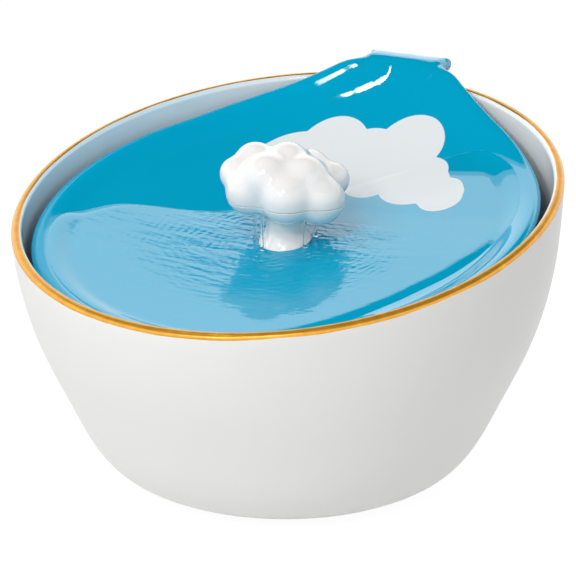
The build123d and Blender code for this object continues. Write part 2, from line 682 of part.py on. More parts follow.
def make_filter_box():
    half = BOX_WIDTH / 2
    box = rounded_box((-half, half), (BOX_FRONT, BOX_BACK), (PUMP_BOTTOM, BOX_TOP), PUMP_ROUND)
    box -= rounded_box(
        (-half + BOX_WALL, half - BOX_WALL),
        (BOX_FRONT, BOX_BACK - BOX_WALL),
        (PUMP_BOTTOM + BOX_WALL, BOX_TOP - BOX_WALL),
        PUMP_ROUND - BOX_WALL,
    )
    box -= along_y(INTAKE_RADIUS + 1, -FAR, FAR, 0, ROTOR_AXIS)
    x, y, _ = cartridge_space(SEAT_GAP)
    box -= block(x, y, (BOX_TOP - BOX_WALL - 1, FAR))
    for x in (-PUMP_WIDTH / 2 + 4, PUMP_WIDTH / 2 - 4):
        for z in (PUMP_BOTTOM + 4, PUMP_TOP - 4):
            box += along_y(BOX_STANDOFF_RADIUS, BOX_BACK - 1, cover_front(), x, z)
    return box


def cartridge_space(fit):
    """Room of the carbon cartridge, grown by fit all round."""
    half = BOX_WIDTH / 2 - BOX_WALL - CARTRIDGE_SIDE
    back = BOX_BACK - BOX_WALL - 2 * SEAT_GAP
    return (
        (-half - fit, half + fit),
        (back - CARTRIDGE_DEPTH - fit, back + fit),
        (PUMP_BOTTOM + BOX_WALL + SEAT_GAP, BOX_TOP - 2 * SEAT_GAP),
    )


def make_cartridge_frame():
    x, y, z = cartridge_space(0)
    frame = block(x, y, z)
    frame -= block(
        (x[0] + CARTRIDGE_FRAME, x[1] - CARTRIDGE_FRAME),
        (-FAR, FAR),
        (z[0] + CARTRIDGE_FRAME, z[1] - CARTRIDGE_FRAME),
    )
    middle = (y[0] + y[1]) / 2
    tab = block(
        (-CARTRIDGE_TAB_WIDTH / 2, CARTRIDGE_TAB_WIDTH / 2),
        (middle - 1.2, middle + 1.2),
        (z[1] - 1, z[1] + CARTRIDGE_TAB),
    )
    return frame + fillet(tab.edges().filter_by(Axis.Y), 0.9)


def make_carbon_block():
    x, y, z = cartridge_space(0)
    return block(
        (x[0] + CARTRIDGE_FRAME, x[1] - CARTRIDGE_FRAME),
        (y[0] + 0.6, y[1] - 0.6),
        (z[0] + CARTRIDGE_FRAME, z[1] - CARTRIDGE_FRAME),
    )


def make_foam_block():
    half = BOX_WIDTH / 2 - BOX_WALL
    back = cartridge_space(SEAT_GAP)[1][0] - SEAT_GAP
    front = BOX_FRONT - SEAT_GAP + GRILLE_LIP + SEAT_GAP
    top = BOX_TOP - BOX_WALL - FOAM_FIT
    return rounded_box((-half, half), (front, back), (PUMP_BOTTOM + BOX_WALL, top), PUMP_ROUND - BOX_WALL)


def make_filter_cover():
    half = BOX_WIDTH / 2
    plate_back = BOX_FRONT - SEAT_GAP
    cover = rounded_box(
        (-half, half), (plate_back - GRILLE_PLATE, plate_back), (PUMP_BOTTOM, BOX_TOP), PUMP_ROUND
    )
    inset = BOX_WALL + SEAT_GAP
    lip = rounded_box(
        (-half + inset, half - inset),
        (plate_back - GRILLE_PLATE / 2, plate_back + GRILLE_LIP),
        (PUMP_BOTTOM + inset, BOX_TOP - inset),
        PUMP_ROUND - BOX_WALL,
    )
    lip -= block(
        (-half + inset + GRILLE_LIP_WALL, half - inset - GRILLE_LIP_WALL),
        (-FAR, FAR),
        (PUMP_BOTTOM + inset + GRILLE_LIP_WALL, BOX_TOP - inset - GRILLE_LIP_WALL),
    )
    cover += lip
    pitch = (BOX_WIDTH - 12) / GRILLE_SLOTS
    middle = (PUMP_BOTTOM + BOX_TOP) / 2
    for i in range(GRILLE_SLOTS):
        x = (i - (GRILLE_SLOTS - 1) / 2) * pitch
        cover -= block(
            (x - GRILLE_SLOT_WIDTH / 2, x + GRILLE_SLOT_WIDTH / 2),
            (plate_back - GRILLE_PLATE, plate_back),
            (middle - GRILLE_SLOT_HEIGHT / 2, middle + GRILLE_SLOT_HEIGHT / 2),
        )
    return cover


# ---------------------------------------------------------------- everything


def main():
    cloud = cloud_form()
    core, bobbin, winding = make_stator_core(), make_coil_bobbin(), make_coil_winding()
    pieces = {
        "bowl": make_bowl(),
        "tray": make_tray(),
        "cloud_base": make_spout(cloud),
        "cloud_cap": make_cloud_cap(cloud),
        "stem_seal": make_stem_seal(),
        "hose": make_hose(),
        "pump_housing": make_pump_housing(),
        "pump_back_plate": make_back_plate(),
        "stator_core": core,
        "coil_bobbin": bobbin,
        "coil_winding": winding,
        "potting": make_potting(core, bobbin, winding),
        "cable_gland": make_cable_gland(),
        "rotor_magnet": make_rotor_magnet(),
        "impeller": make_impeller(),
        "rotor_shaft": make_rotor_shaft(),
        "rear_bush": make_rear_bush(),
        "front_bush": make_front_bush(),
        "volute_cover": make_volute_cover(),
        "volute_seal": make_volute_seal(),
        "flow_dial": make_flow_dial(),
        "filter_box": make_filter_box(),
        "foam_block": make_foam_block(),
        "cartridge_frame": make_cartridge_frame(),
        "carbon_block": make_carbon_block(),
        "filter_cover": make_filter_cover(),
    }
    for number, (x, y) in enumerate(cup_places(), start=1):
        pieces[f"suction_cup_{number}"] = make_suction_cup(x, y)
    os.makedirs("parts", exist_ok=True)
    for name, piece in pieces.items():
        export_step(piece, f"parts/{name}.step")
        print(name, len(piece.solids()), round(piece.volume), piece.is_valid)


main()
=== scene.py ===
# %% [markdown]
# # A ceramic pet water fountain
#
# The object is a slanted white bowl with a painted gold rim, a glazed blue tray that hooks over the
# high side of the bowl, and a small cloud on a stem, out of which water rains back onto the tray.
# A pump, a hose and a filter box stand inside the bowl.
#
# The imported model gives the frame: every piece here stands where its solid stands. The inner
# machine keeps its solids and gets finishes. The ceramic pieces are modelled again, because a glaze
# shows every facet and every hard edge, so they need fine, flowing meshes.

# %% Load the frame
import json
import math

import bmesh
import bpy
import numpy as np
from mathutils import Matrix, Vector, noise


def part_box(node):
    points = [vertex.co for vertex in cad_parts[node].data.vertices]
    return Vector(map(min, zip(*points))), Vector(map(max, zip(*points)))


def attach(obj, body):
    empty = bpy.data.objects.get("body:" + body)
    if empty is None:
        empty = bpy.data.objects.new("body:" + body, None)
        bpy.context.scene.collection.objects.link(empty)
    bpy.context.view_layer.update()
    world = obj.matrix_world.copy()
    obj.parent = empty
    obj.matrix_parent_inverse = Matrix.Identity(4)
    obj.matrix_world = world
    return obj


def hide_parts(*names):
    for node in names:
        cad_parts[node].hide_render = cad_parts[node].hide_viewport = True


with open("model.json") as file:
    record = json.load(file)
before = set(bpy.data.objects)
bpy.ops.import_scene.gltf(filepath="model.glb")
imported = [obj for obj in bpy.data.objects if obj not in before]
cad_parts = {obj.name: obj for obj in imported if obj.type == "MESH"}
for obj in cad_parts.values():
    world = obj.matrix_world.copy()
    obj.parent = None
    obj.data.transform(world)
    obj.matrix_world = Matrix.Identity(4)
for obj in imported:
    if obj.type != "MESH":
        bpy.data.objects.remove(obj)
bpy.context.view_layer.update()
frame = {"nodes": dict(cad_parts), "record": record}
MM = 0.001

# %% [markdown]
# ## Camera, floor and light
#
# A slanted bowl reads best from a little above its rim and through a long lens, which keeps its
# true outline. The camera looks at a point on the bowl's axis and is then turned a touch, so that
# the bowl sits low in the frame. All of that is one position and one direction.

# %% Camera
CAMERA_AZIMUTH = math.radians(27.5)
CAMERA_ELEVATION = math.radians(19.175)
CAMERA_DISTANCE = 1.3
AIM_HEIGHT = 0.060
LENS, SENSOR, FRAME_PIXELS = 185.98, 36.0, 576
AIM_PIXEL = (285.29, 340.535)

side = Vector((math.cos(CAMERA_AZIMUTH), math.sin(CAMERA_AZIMUTH), 0))
away = Vector((-side.y * math.cos(CAMERA_ELEVATION), side.x * math.cos(CAMERA_ELEVATION),
               -math.sin(CAMERA_ELEVATION)))
upward = side.cross(away)
focal = LENS / SENSOR * FRAME_PIXELS
sight = (away * focal + side * (FRAME_PIXELS / 2 - AIM_PIXEL[0])
         - upward * (FRAME_PIXELS / 2 - AIM_PIXEL[1])).normalized()

camera = bpy.data.objects.new("camera", bpy.data.cameras.new("camera"))
camera.data.lens, camera.data.sensor_width = LENS, SENSOR
camera.data.clip_end = 20
camera.location = Vector((0, 0, AIM_HEIGHT)) - away * CAMERA_DISTANCE
turned_side = sight.cross(Vector((0, 0, 1))).normalized()
camera.rotation_euler = Matrix((turned_side, turned_side.cross(sight), -sight)).transposed().to_euler()
bpy.context.scene.collection.objects.link(camera)
bpy.context.scene.camera = camera
bpy.context.scene.view_settings.view_transform = "Standard"
print("camera at", [round(c, 3) for c in camera.location])

# %% [markdown]
# A glossy tray shows the room. In a white studio cove the walls are bright up to a line, above it
# comes a narrow band of half light, and then the dark ceiling. That line is the edge between the
# pale and the deep blue on the glaze. The world gives each kind of ray its share: white to the
# camera, that room to reflections, and an even grey to matt surfaces.

# %% World
ROOM_BRIGHT, ROOM_DARK, ROOM_EVEN, BACKGROUND = 1.85, 0.012, 0.60, 1.0
CEILING_STEPS = ((40.6, 41.8), (43.6, 44.8))  # degrees above the horizon


def feed(tree, socket, source):
    """Puts a number, a colour or another node's output into a socket."""
    if isinstance(source, bpy.types.NodeSocket):
        tree.links.new(source, socket)
    else:
        socket.default_value = source


def make_world():
    world = bpy.data.worlds.new("studio")
    bpy.context.scene.world = world
    world.use_nodes = True
    tree = world.node_tree
    background = tree.nodes["Background"]
    background.inputs["Strength"].default_value = 1
    direction = tree.nodes.new("ShaderNodeTexCoord").outputs["Generated"]
    apart = tree.nodes.new("ShaderNodeSeparateXYZ")
    tree.links.new(direction, apart.inputs[0])
    room = tree.nodes.new("ShaderNodeMath")
    for socket, (low, high) in zip(room.inputs, CEILING_STEPS):
        step = tree.nodes.new("ShaderNodeMapRange")
        step.interpolation_type = "SMOOTHSTEP"
        start, end = math.sin(math.radians(low)), math.sin(math.radians(high))
        for name, value in (("From Min", start), ("From Max", end),
                            ("To Min", ROOM_BRIGHT / 2), ("To Max", ROOM_DARK / 2)):
            step.inputs[name].default_value = value
        tree.links.new(apart.outputs["Z"], step.inputs["Value"])
        tree.links.new(step.outputs[0], socket)
    rays = tree.nodes.new("ShaderNodeLightPath")
    level = ROOM_EVEN
    for ray, value in (("Is Glossy Ray", room.outputs[0]), ("Is Transmission Ray", BACKGROUND),
                       ("Is Camera Ray", BACKGROUND)):
        mix = tree.nodes.new("ShaderNodeMix")
        for name, source in (("Factor", rays.outputs[ray]), ("A", level), ("B", value)):
            feed(tree, mix.inputs[name], source)
        level = mix.outputs["Result"]
    tree.links.new(level, background.inputs["Color"])


make_world()
print("room", ROOM_BRIGHT, "under the ceiling and", ROOM_DARK, "on it")

# %% [markdown]
# Five small lamps do the rest. The key stands high on the left. The fill and the glint stand in
# front, and a glaze mirrors them as small bright spots. The near lamp lifts the shaded underside of
# the cloud. The card is a narrow lamp high up, whose image makes the white streaks on the ramp. The
# key and the near lamp don't show in gloss, or their squares would show all over the tray.

# %% Lamps
LAMP_AIM = Vector((0, 0, 0.11))
LAMPS = {
    "key": ((-1.1, -0.9, 1.3), (0.3, 0.3), 4.1, False),
    "fill": ((0.16, -1.0, 1.15), (0.28, 0.22), 3.6, True),
    "glint": ((-0.10, -0.80, 0.62), (0.15, 0.13), 1.1, True),
    "near": ((0.0, -0.42, 0.42), (0.25, 0.25), 0.24, False),
    "card": ((-0.363, -0.25, 1.25), (0.15, 0.06), 0.6, True),
}


def make_lamp(name, place, size, power, seen_in_gloss):
    """A rectangular lamp that faces the bowl's rim. Places and sizes are in metres."""
    light = bpy.data.lights.new(name, "AREA")
    light.shape, light.size, light.size_y = "RECTANGLE", size[0], size[1]
    light.energy = power
    lamp = bpy.data.objects.new(name, light)
    lamp.location = place
    lamp.rotation_euler = (LAMP_AIM - Vector(place)).to_track_quat("-Z", "Y").to_euler()
    lamp.visible_glossy = seen_in_gloss
    bpy.context.scene.collection.objects.link(lamp)


for lamp_name, settings in LAMPS.items():
    make_lamp(lamp_name, *settings)
print("lamps", list(LAMPS))

# %% [markdown]
# ## Finishes
#
# Each finish is a small node tree on the Principled shader. A few short calls keep them readable:
# arithmetic, distances, colour mixing, noise, cells and bump. All patterns read Object coordinates,
# so they stay on the piece when it moves.

# %% Material helper
class Finish:
    """A material that is put together call by call."""

    def __init__(self, name, colour, roughness, metallic=0.0):
        self.material = bpy.data.materials.new(name)
        self.material.use_nodes = True
        self.tree = self.material.node_tree
        self.skin = self.tree.nodes["Principled BSDF"]
        self.set("Base Color", (*colour, 1))
        self.set("Roughness", roughness)
        self.set("Metallic", metallic)
        coordinates = self.tree.nodes.new("ShaderNodeTexCoord").outputs
        self.place, self.facing = coordinates["Object"], coordinates["Normal"]

    def set(self, socket, value):
        self.skin.inputs[socket].default_value = value

    def link(self, name, source):
        feed(self.tree, self.skin.inputs[name], source)

    def maths(self, operation, *values, clamp=False):
        node = self.tree.nodes.new("ShaderNodeMath")
        node.operation, node.use_clamp = operation, clamp
        for socket, value in zip(node.inputs, values):
            feed(self.tree, socket, value)
        return node.outputs[0]

    def times(self, a, b):
        return self.maths("MULTIPLY", a, b)

    def dot(self, a, b):
        """The sum of the products of two pairs."""
        return self.maths("ADD", self.times(a[0], b[0]), self.times(a[1], b[1]))

    def length(self, x, y):
        return self.maths("SQRT", self.dot((x, y), (x, y)))

    def ramp(self, value, low, high, start=0.0, end=1.0):
        """Smooth step of value from low to high."""
        node = self.tree.nodes.new("ShaderNodeMapRange")
        node.interpolation_type = "SMOOTHSTEP"
        for name, source in (("Value", value), ("From Min", low), ("From Max", high),
                             ("To Min", start), ("To Max", end)):
            feed(self.tree, node.inputs[name], source)
        return node.outputs["Result"]

    def mix(self, factor, a, b):
        """Colour a where factor is 0 and b where it is 1."""
        node = self.tree.nodes.new("ShaderNodeMix")
        node.data_type = "RGBA"
        feed(self.tree, node.inputs["Factor"], factor)
        for name, colour in (("A", a), ("B", b)):
            feed(self.tree, node.inputs[name], (*colour, 1) if isinstance(colour, tuple) else colour)
        return node.outputs["Result"]

    def noise(self, scale, detail=2.0, place=None):
        node = self.tree.nodes.new("ShaderNodeTexNoise")
        node.inputs["Scale"].default_value = scale
        node.inputs["Detail"].default_value = detail
        feed(self.tree, node.inputs["Vector"], place or self.place)
        return node.outputs["Fac"]

    def cells(self, scale):
        """Distance to the nearest of many scattered points."""
        node = self.tree.nodes.new("ShaderNodeTexVoronoi")
        node.inputs["Scale"].default_value = scale
        feed(self.tree, node.inputs["Vector"], self.place)
        return node.outputs["Distance"]

    def axes(self, place=None):
        node = self.tree.nodes.new("ShaderNodeSeparateXYZ")
        feed(self.tree, node.inputs[0], place or self.place)
        return node.outputs

    def turned(self, angle, scale=(1, 1, 1)):
        """Object coordinates turned about Z and scaled."""
        node = self.tree.nodes.new("ShaderNodeMapping")
        node.inputs["Rotation"].default_value = (0, 0, angle)
        node.inputs["Scale"].default_value = scale
        feed(self.tree, node.inputs["Vector"], self.place)
        return node.outputs["Vector"]

    def bump(self, height, distance, strength=1.0):
        node = self.tree.nodes.new("ShaderNodeBump")
        node.inputs["Distance"].default_value = distance
        feed(self.tree, node.inputs["Strength"], strength)
        feed(self.tree, node.inputs["Height"], height)
        self.link("Normal", node.outputs[0])


# %% [markdown]
# ## Mesh helpers
#
# Sizes are written in millimetres, as a potter or a moulder would read them, and are turned into
# metres once, when a piece is finished. A closed ring of edges that is extruded again and again,
# each time to a new place, makes every skin here that isn't a plain turned shape.

# %% Helpers for pieces
def finish_piece(name, bm, crease=50):
    """Turns a bmesh in millimetres into a smooth object in metres, with closed seams."""
    bmesh.ops.remove_doubles(bm, verts=bm.verts, dist=0.002)
    bmesh.ops.dissolve_degenerate(bm, edges=bm.edges, dist=0.001)
    bmesh.ops.recalc_face_normals(bm, faces=bm.faces)
    bmesh.ops.scale(bm, vec=(MM, MM, MM), verts=bm.verts)
    mesh = bpy.data.meshes.new(name)
    bm.to_mesh(mesh)
    bm.free()
    return finish_mesh(name, mesh, crease)


def finish_mesh(name, mesh, crease=50):
    mesh.shade_smooth()
    mesh.set_sharp_from_angle(angle=math.radians(crease))
    piece = bpy.data.objects.new(name, mesh)
    bpy.context.scene.collection.objects.link(piece)
    return piece


def dress(piece, body, slot, *nodes):
    """Puts a piece on its body, in place of its solids."""
    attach(piece, body)
    if nodes:
        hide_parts(*nodes)
    piece.data.materials.clear()
    piece.data.materials.append(finishes[slot])
    print(piece.name, len(piece.data.polygons), "faces")


def turned_solid(bm, outline, steps=96):
    """Spins a chain of (radius, height) points about Z."""
    verts = [bm.verts.new((radius, 0, height)) for radius, height in outline]
    edges = [bm.edges.new(pair) for pair in zip(verts, verts[1:])]
    bmesh.ops.spin(bm, geom=verts + edges, axis=(0, 0, 1), cent=(0, 0, 0), angle=2 * math.pi,
                   steps=steps, use_merge=True)
    bmesh.ops.remove_doubles(bm, verts=bm.verts, dist=0.001)


def next_ring(bm, ring, place):
    """Extrudes a closed ring of edges and moves each new vertex to where place says."""
    result = bmesh.ops.extrude_edge_only(bm, edges=ring)["geom"]
    for vert in result:
        if isinstance(vert, bmesh.types.BMVert):
            vert.co = place(vert.co)
    return [edge for edge in result if isinstance(edge, bmesh.types.BMEdge)]


def arc(centre, radius, start, end, steps):
    """Points on an arc, from start to end in degrees, both included."""
    angles = [math.radians(start + (end - start) * i / steps) for i in range(steps + 1)]
    return [(centre[0] + radius * math.cos(a), centre[1] + radius * math.sin(a)) for a in angles]


def combine(piece, other, operation):
    """One Boolean step, applied, after which the other piece is gone."""
    step = piece.modifiers.new("step", "BOOLEAN")
    step.operation, step.object, step.solver = operation, other, "EXACT"
    shaped = piece.evaluated_get(bpy.context.evaluated_depsgraph_get())
    mesh = bpy.data.meshes.new_from_object(shaped)
    piece.modifiers.clear()
    piece.data = mesh
    bpy.data.objects.remove(other)


# %% [markdown]
# ## Bowl
#
# The real bowl is slip-cast in a plaster mould and its rim is cut on a slant. A turned shape comes
# first: one chain of points, from the middle of the foot up the outside, over the rounded rim and
# down the inside. It is spun about the axis, and then each point is lifted or lowered in step with
# the slanting rim. The points near the foot stay, those at the rim move all the way, and every
# point slides along the wall's own curve, so the outline stays the same all round.

# %% Bowl sizes
BOWL_STATIONS = [(58.0, 0), (75.6, 8.6), (94.8, 38.0), (106.7, 63.5), (115.8, 95.0),
                 (119.0, 126.6), (120.15, 157.8)]
BOWL_WALL, BOWL_FLOOR = 4.6, 8.0
FLOOR_ROUND, RIM_ROUND = 6.0, 2.1
RIM_RADIUS, RIM_MIDDLE, RIM_RISE = 119.0, 126.6, 53.2
RIM_SLOPE = RIM_RISE / (2 * RIM_RADIUS)
FOOT_RINGS, FLOOR_RINGS = (0, 15, 30, 42, 51, 56, 58.3), (54, 44, 32, 18, 0)
SLANT_START, SLANT_SPAN = 18, RIM_MIDDLE - RIM_ROUND - 24
NOTCH_WIDTH, NOTCH_DEPTH, NOTCH_TOP = 9.0, 8.0, 175
NOTCH_START, NOTCH_THROUGH = 100, 26


def rim_height(y):
    return RIM_MIDDLE + RIM_SLOPE * y


def curve_through(stations, count):
    """Points along the natural cubic curve through the stations, spaced by chord length."""
    stations = np.array(stations, float)
    chords = np.hypot(*np.diff(stations, axis=0).T)
    knots = np.concatenate([[0], np.cumsum(chords)])
    system, pull = np.eye(len(knots)), np.zeros((len(knots), 2))
    for i in range(1, len(knots) - 1):
        before, after = chords[i - 1], chords[i]
        system[i, i - 1:i + 2] = before, 2 * (before + after), after
        pull[i] = 6 * ((stations[i + 1] - stations[i]) / after - (stations[i] - stations[i - 1]) / before)
    bend = np.linalg.solve(system, pull)
    at = np.linspace(0, knots[-1], count)
    i = np.clip(np.searchsorted(knots, at) - 1, 0, len(chords) - 1)
    chord = chords[i][:, None]
    past, left = (at - knots[i])[:, None], (knots[i + 1] - at)[:, None]
    curve = (bend[i] * left**3 + bend[i + 1] * past**3) / (6 * chord)
    curve += (stations[i] / chord - bend[i] * chord / 6) * left
    return curve + (stations[i + 1] / chord - bend[i + 1] * chord / 6) * past


outside = curve_through(BOWL_STATIONS, 2400)
run = np.gradient(outside, axis=0)
run /= np.hypot(*run.T)[:, None]
inward = np.stack([-run[:, 1], run[:, 0]], axis=1)
inside = outside + BOWL_WALL * inward


def wall_radius(curve, height):
    return float(np.interp(height, curve[:, 1], curve[:, 0]))


print("rim's radius", *[round(wall_radius(curve, RIM_MIDDLE), 2) for curve in (outside, inside)])


# %% Bowl mesh
def bowl_chain():
    """The wall's section at the middle of the slant, from under the foot round to the floor."""
    low, high = 0.9, RIM_MIDDLE - RIM_ROUND
    chain = [(radius, 0) for radius in FOOT_RINGS]
    chain += [(wall_radius(outside, z) - lean, z) for z, lean in ((0.25, 0.55), (0.55, 0.2))]
    chain += [(wall_radius(outside, z), z) for z in np.linspace(low, high, 48)]
    chain += arc((wall_radius(outside, high) - RIM_ROUND, high), RIM_ROUND, 12, 90, 7)
    chain += arc((wall_radius(inside, high) + RIM_ROUND, high), RIM_ROUND, 90, 168, 7)
    centres = outside + (BOWL_WALL + FLOOR_ROUND) * inward
    turn = int(np.argmin(abs(centres[:, 1] - (BOWL_FLOOR + FLOOR_ROUND))))
    centre, touch = centres[turn], inside[turn]
    chain += [(wall_radius(inside, z), z) for z in np.linspace(high, touch[1], 46)]
    lean = math.degrees(math.atan2(touch[1] - centre[1], touch[0] - centre[0]))
    chain += arc(centre, FLOOR_ROUND, lean, -90, 8)[1:]
    return chain + [(radius, BOWL_FLOOR) for radius in FLOOR_RINGS]


def slant(bm):
    """Slides every point along the wall's curve until the level rim has become the slanting one."""
    for vert in bm.verts:
        radius, height = vert.co.xy.length, vert.co.z
        if radius < 1:
            continue
        share = min(1.0, max(0.0, (height - SLANT_START) / SLANT_SPAN))
        share = share * share * (3 - 2 * share)
        outer, inner = wall_radius(outside, height), wall_radius(inside, height)
        depth = min(1.0, max(0.0, (outer - radius) / (outer - inner)))
        new_radius = radius
        for _ in range(4):
            lift = (rim_height(vert.co.y / radius * new_radius) - RIM_MIDDLE) * share
            moved_out = wall_radius(outside, height + lift) - outer
            moved_in = wall_radius(inside, height + lift) - inner
            new_radius = radius + (1 - depth) * moved_out + depth * moved_in
        vert.co.xy *= new_radius / radius
        vert.co.z += lift


def lead_notch():
    """The tool that cuts the round-bottomed notch for the pump's lead."""
    bm = bmesh.new()
    half, level = NOTCH_WIDTH / 2, rim_height(RIM_RADIUS) - NOTCH_DEPTH + NOTCH_WIDTH / 2
    shape = arc((0, level), half, 180, 360, 20) + [(half, NOTCH_TOP), (-half, NOTCH_TOP)]
    face = bm.faces.new([bm.verts.new((x, NOTCH_START, z)) for x, z in shape])
    pushed = [v for v in bmesh.ops.extrude_face_region(bm, geom=[face])["geom"]
              if isinstance(v, bmesh.types.BMVert)]
    bmesh.ops.translate(bm, vec=(0, NOTCH_THROUGH, 0), verts=pushed)
    return finish_piece("notch_tool", bm)


def make_bowl():
    bm = bmesh.new()
    turned_solid(bm, bowl_chain(), steps=200)
    slant(bm)
    bowl = finish_piece("bowl_body", bm, crease=60)
    combine(bowl, lead_notch(), "DIFFERENCE")
    return bowl


bowl = make_bowl()


# %% [markdown]
# The outside of the bowl is a satin white, the inside a clear gloss. One side of the inside is painted
# blue-grey: painted shade, and a painted reflection of the blue tray.
# The gold line is painted by hand with a loaded brush: it covers the top of the rim and runs a
# little down the outside, where its edge wanders. A thin line of white stays bare at the inner edge.
# The mask is measured from the rim's slanting plane, so it follows the rim wherever that goes. The
# side that a point is on comes from its normal: the inside's normals point at the axis.

# %% White ceramic with the gold line
WALL_LEAN, WALL_BOW = 0.0658, -0.99  # of the outside's radius near the rim, in metres
GOLD_DOWN, GOLD_ACROSS = (1.15, 1.3), (3.25, 0.7)  # its least reach and how much it wanders
GOLD_EDGE, GOLD_METAL = 0.12, 0.5
GOLD_DARK, GOLD_LIGHT = (0.50, 0.19, 0.005), (0.80, 0.42, 0.04)
CREAM_DARK, CREAM_LIGHT = (0.80, 0.80, 0.79), (0.825, 0.825, 0.815)
# The blue-grey for one side of the inside is painted shade and a painted reflection of the tray's blue.
INSIDE_PAINTED_SHADE, INSIDE_PLAIN, PAINTED_SHADE_SIDE = (0.62, 0.79, 0.88), (0.87, 0.88, 0.88), (-90, 60)
SATIN, SATIN_DRIFT, GLOSSIER_INSIDE, GLOSSIER_GOLD = 0.38, 0.06, -0.32, -0.12


def white_ceramic():
    finish = Finish("white_ceramic", (0.81, 0.81, 0.80), 0.42)
    x, y, z = finish.axes()
    radius = finish.length(x, y)
    below = finish.maths("SUBTRACT", finish.maths("MULTIPLY_ADD", y, RIM_SLOPE, RIM_MIDDLE * MM), z)
    above_middle = finish.maths("SUBTRACT", z, RIM_MIDDLE * MM)
    bow = finish.maths("MULTIPLY_ADD", above_middle, WALL_BOW, WALL_LEAN)
    outer = finish.maths("MULTIPLY_ADD", above_middle, bow, RIM_RADIUS * MM)
    edges = []
    for distance, (reach, wander), noisy in ((below, GOLD_DOWN, finish.noise(28, 3)),
                                             (finish.maths("SUBTRACT", outer, radius), GOLD_ACROSS,
                                              finish.noise(45, 2))):
        wavy = finish.maths("MULTIPLY_ADD", noisy, wander * MM, reach * MM)
        past = finish.maths("SUBTRACT", distance, wavy)
        edges.append(finish.ramp(past, -GOLD_EDGE * MM, GOLD_EDGE * MM, 1, 0))
    gold = finish.times(*edges)
    outwards = finish.dot(finish.axes(finish.facing), (x, y))
    within = finish.ramp(finish.maths("DIVIDE", outwards, radius), -0.5, -0.2, 1, 0)
    # Painted shade: one side of the inside is mixed towards a blue-grey that stands in for shade and the
    # tray's blue reflection.
    across = finish.maths("ADD", x, finish.times(y, 0.5))
    inside_painted_shade = finish.mix(finish.ramp(across, *[end * MM for end in PAINTED_SHADE_SIDE]), INSIDE_PAINTED_SHADE, INSIDE_PLAIN)
    cream = finish.mix(within, finish.mix(finish.noise(14, 3), CREAM_DARK, CREAM_LIGHT), inside_painted_shade)
    tone = finish.mix(finish.noise(240, 4), GOLD_DARK, GOLD_LIGHT)
    finish.link("Base Color", finish.mix(gold, cream, tone))
    finish.link("Metallic", finish.times(gold, GOLD_METAL))
    satin = finish.maths("MULTIPLY_ADD", finish.noise(220, 3), SATIN_DRIFT, SATIN)
    glazed = finish.maths("MULTIPLY_ADD", within, GLOSSIER_INSIDE, satin)
    finish.link("Roughness", finish.maths("MULTIPLY_ADD", gold, GLOSSIER_GOLD, glazed))
    finish.bump(finish.noise(90, 3), 0.12 * MM, 0.35)
    return finish.material


# %% [markdown]
# ## Tray
#
# The tray is pressed from clay over a mould: a dish inside the bowl's slanting rim, with a raised
# lip, and at the back a ramp that climbs over the rim and ends in a hook to lift it by. Its face is
# one smooth height over the plan. So the mesh starts as the plan's outline, a ring of edges, and
# the ring is extruded inwards in steps, over the face and again under it. Every point takes its
# height from the same formula, and how far it lies from the outline says how much it is rounded.

# %% Tray sizes
TRAY_RADIUS, TRAY_WALL = 109.5, 4.4
EDGE_DROP, DISH_SAG = 7.0, 11.0
LIP_RISE, LIP_WIDTH, LIP_TOP, LIP_FADE = 3.0, 17.0, 4.0, 0.87
TAB_HALF_WIDTH, TAB_CREST, TAB_END, TAB_CORNER = 19.9, 117.6, 128.0, 3.0
RAMP_START, TAB_HEIGHT, CREST_SOFTNESS = 62.0, 161.5, 1.1
EDGE_WIDTH, EDGE_ROUND = 4.5, 3.0
HOOK_START, HOOK_WALL = 119.5, 5.8
HOLE_RADIUS, COLLAR_RADIUS, COLLAR_END = 9.0, 12.6, 93.2
SEAT_GAP = 0.3
FACE_RINGS = [0.03, 0.12, 0.28, 0.5, 0.8, 1.2, 1.7, 2.3, 2.9, 3.5, 4.4, 5.6, 7, 8.6, 10.4, 12.4, 14.6, 17,
              20, 23.5, 27.5, 32, 37, 42.5, 48.5, 55, 61.5, 68, 74, 80, 85.5, 90, 93.5, 96]
SLOPE_STEPS, DISH_STEPS = 24, 82
touch_angle = (math.acos(TRAY_RADIUS / math.hypot(TAB_HALF_WIDTH, TAB_CREST))
               + math.atan2(TAB_HALF_WIDTH, TAB_CREST))


def edge_distance(x, y):
    """How far inside the tray's outline a point of the plan lies."""
    x = abs(x)
    if math.atan2(x, y) < touch_angle:
        dish = TRAY_RADIUS - (x * math.sin(touch_angle) + y * math.cos(touch_angle))
    else:
        dish = TRAY_RADIUS - math.hypot(x, y)
    return max(0.0, dish, min(TAB_HALF_WIDTH - x, TAB_END - y, y))


def climb(y):
    return max(0.0, (y - RAMP_START) / (TAB_CREST - RAMP_START))


def centre_line(y):
    """The dish's height on its centre line, before the ramp is added."""
    return rim_height(y) - EDGE_DROP - LIP_RISE + DISH_SAG * ((y / TRAY_RADIUS) ** 2 - 1)


def tray_face(x, y):
    """Height of the glazed face, without the rounding of its edge."""
    height = centre_line(y)
    height += (TAB_HEIGHT + CREST_SOFTNESS / 2 - centre_line(TAB_CREST)) * climb(y) ** 2
    over = height - TAB_HEIGHT
    height = TAB_HEIGHT + (over - math.hypot(over, CREST_SOFTNESS)) / 2
    away = min(1.0, max(0.0, edge_distance(x, y) - LIP_TOP) / (LIP_WIDTH - LIP_TOP))
    fade = min(1.0, max(0.0, (climb(y) - LIP_FADE) / (1 - LIP_FADE)))
    lip = LIP_RISE * (1 - away * away) ** 2 * (1 - fade * fade * (3 - 2 * fade))
    return height + DISH_SAG * (x / TRAY_RADIUS) ** 2 + lip


def edge_fall(x, y):
    """0 inside the edge's rounding and 1 at the very edge."""
    share = max(0.0, 1 - edge_distance(x, y) / EDGE_WIDTH)
    return 1 - math.sqrt(max(0.0, 1 - share * share))


def tray_top(x, y):
    return tray_face(x, y) - EDGE_ROUND * edge_fall(x, y)


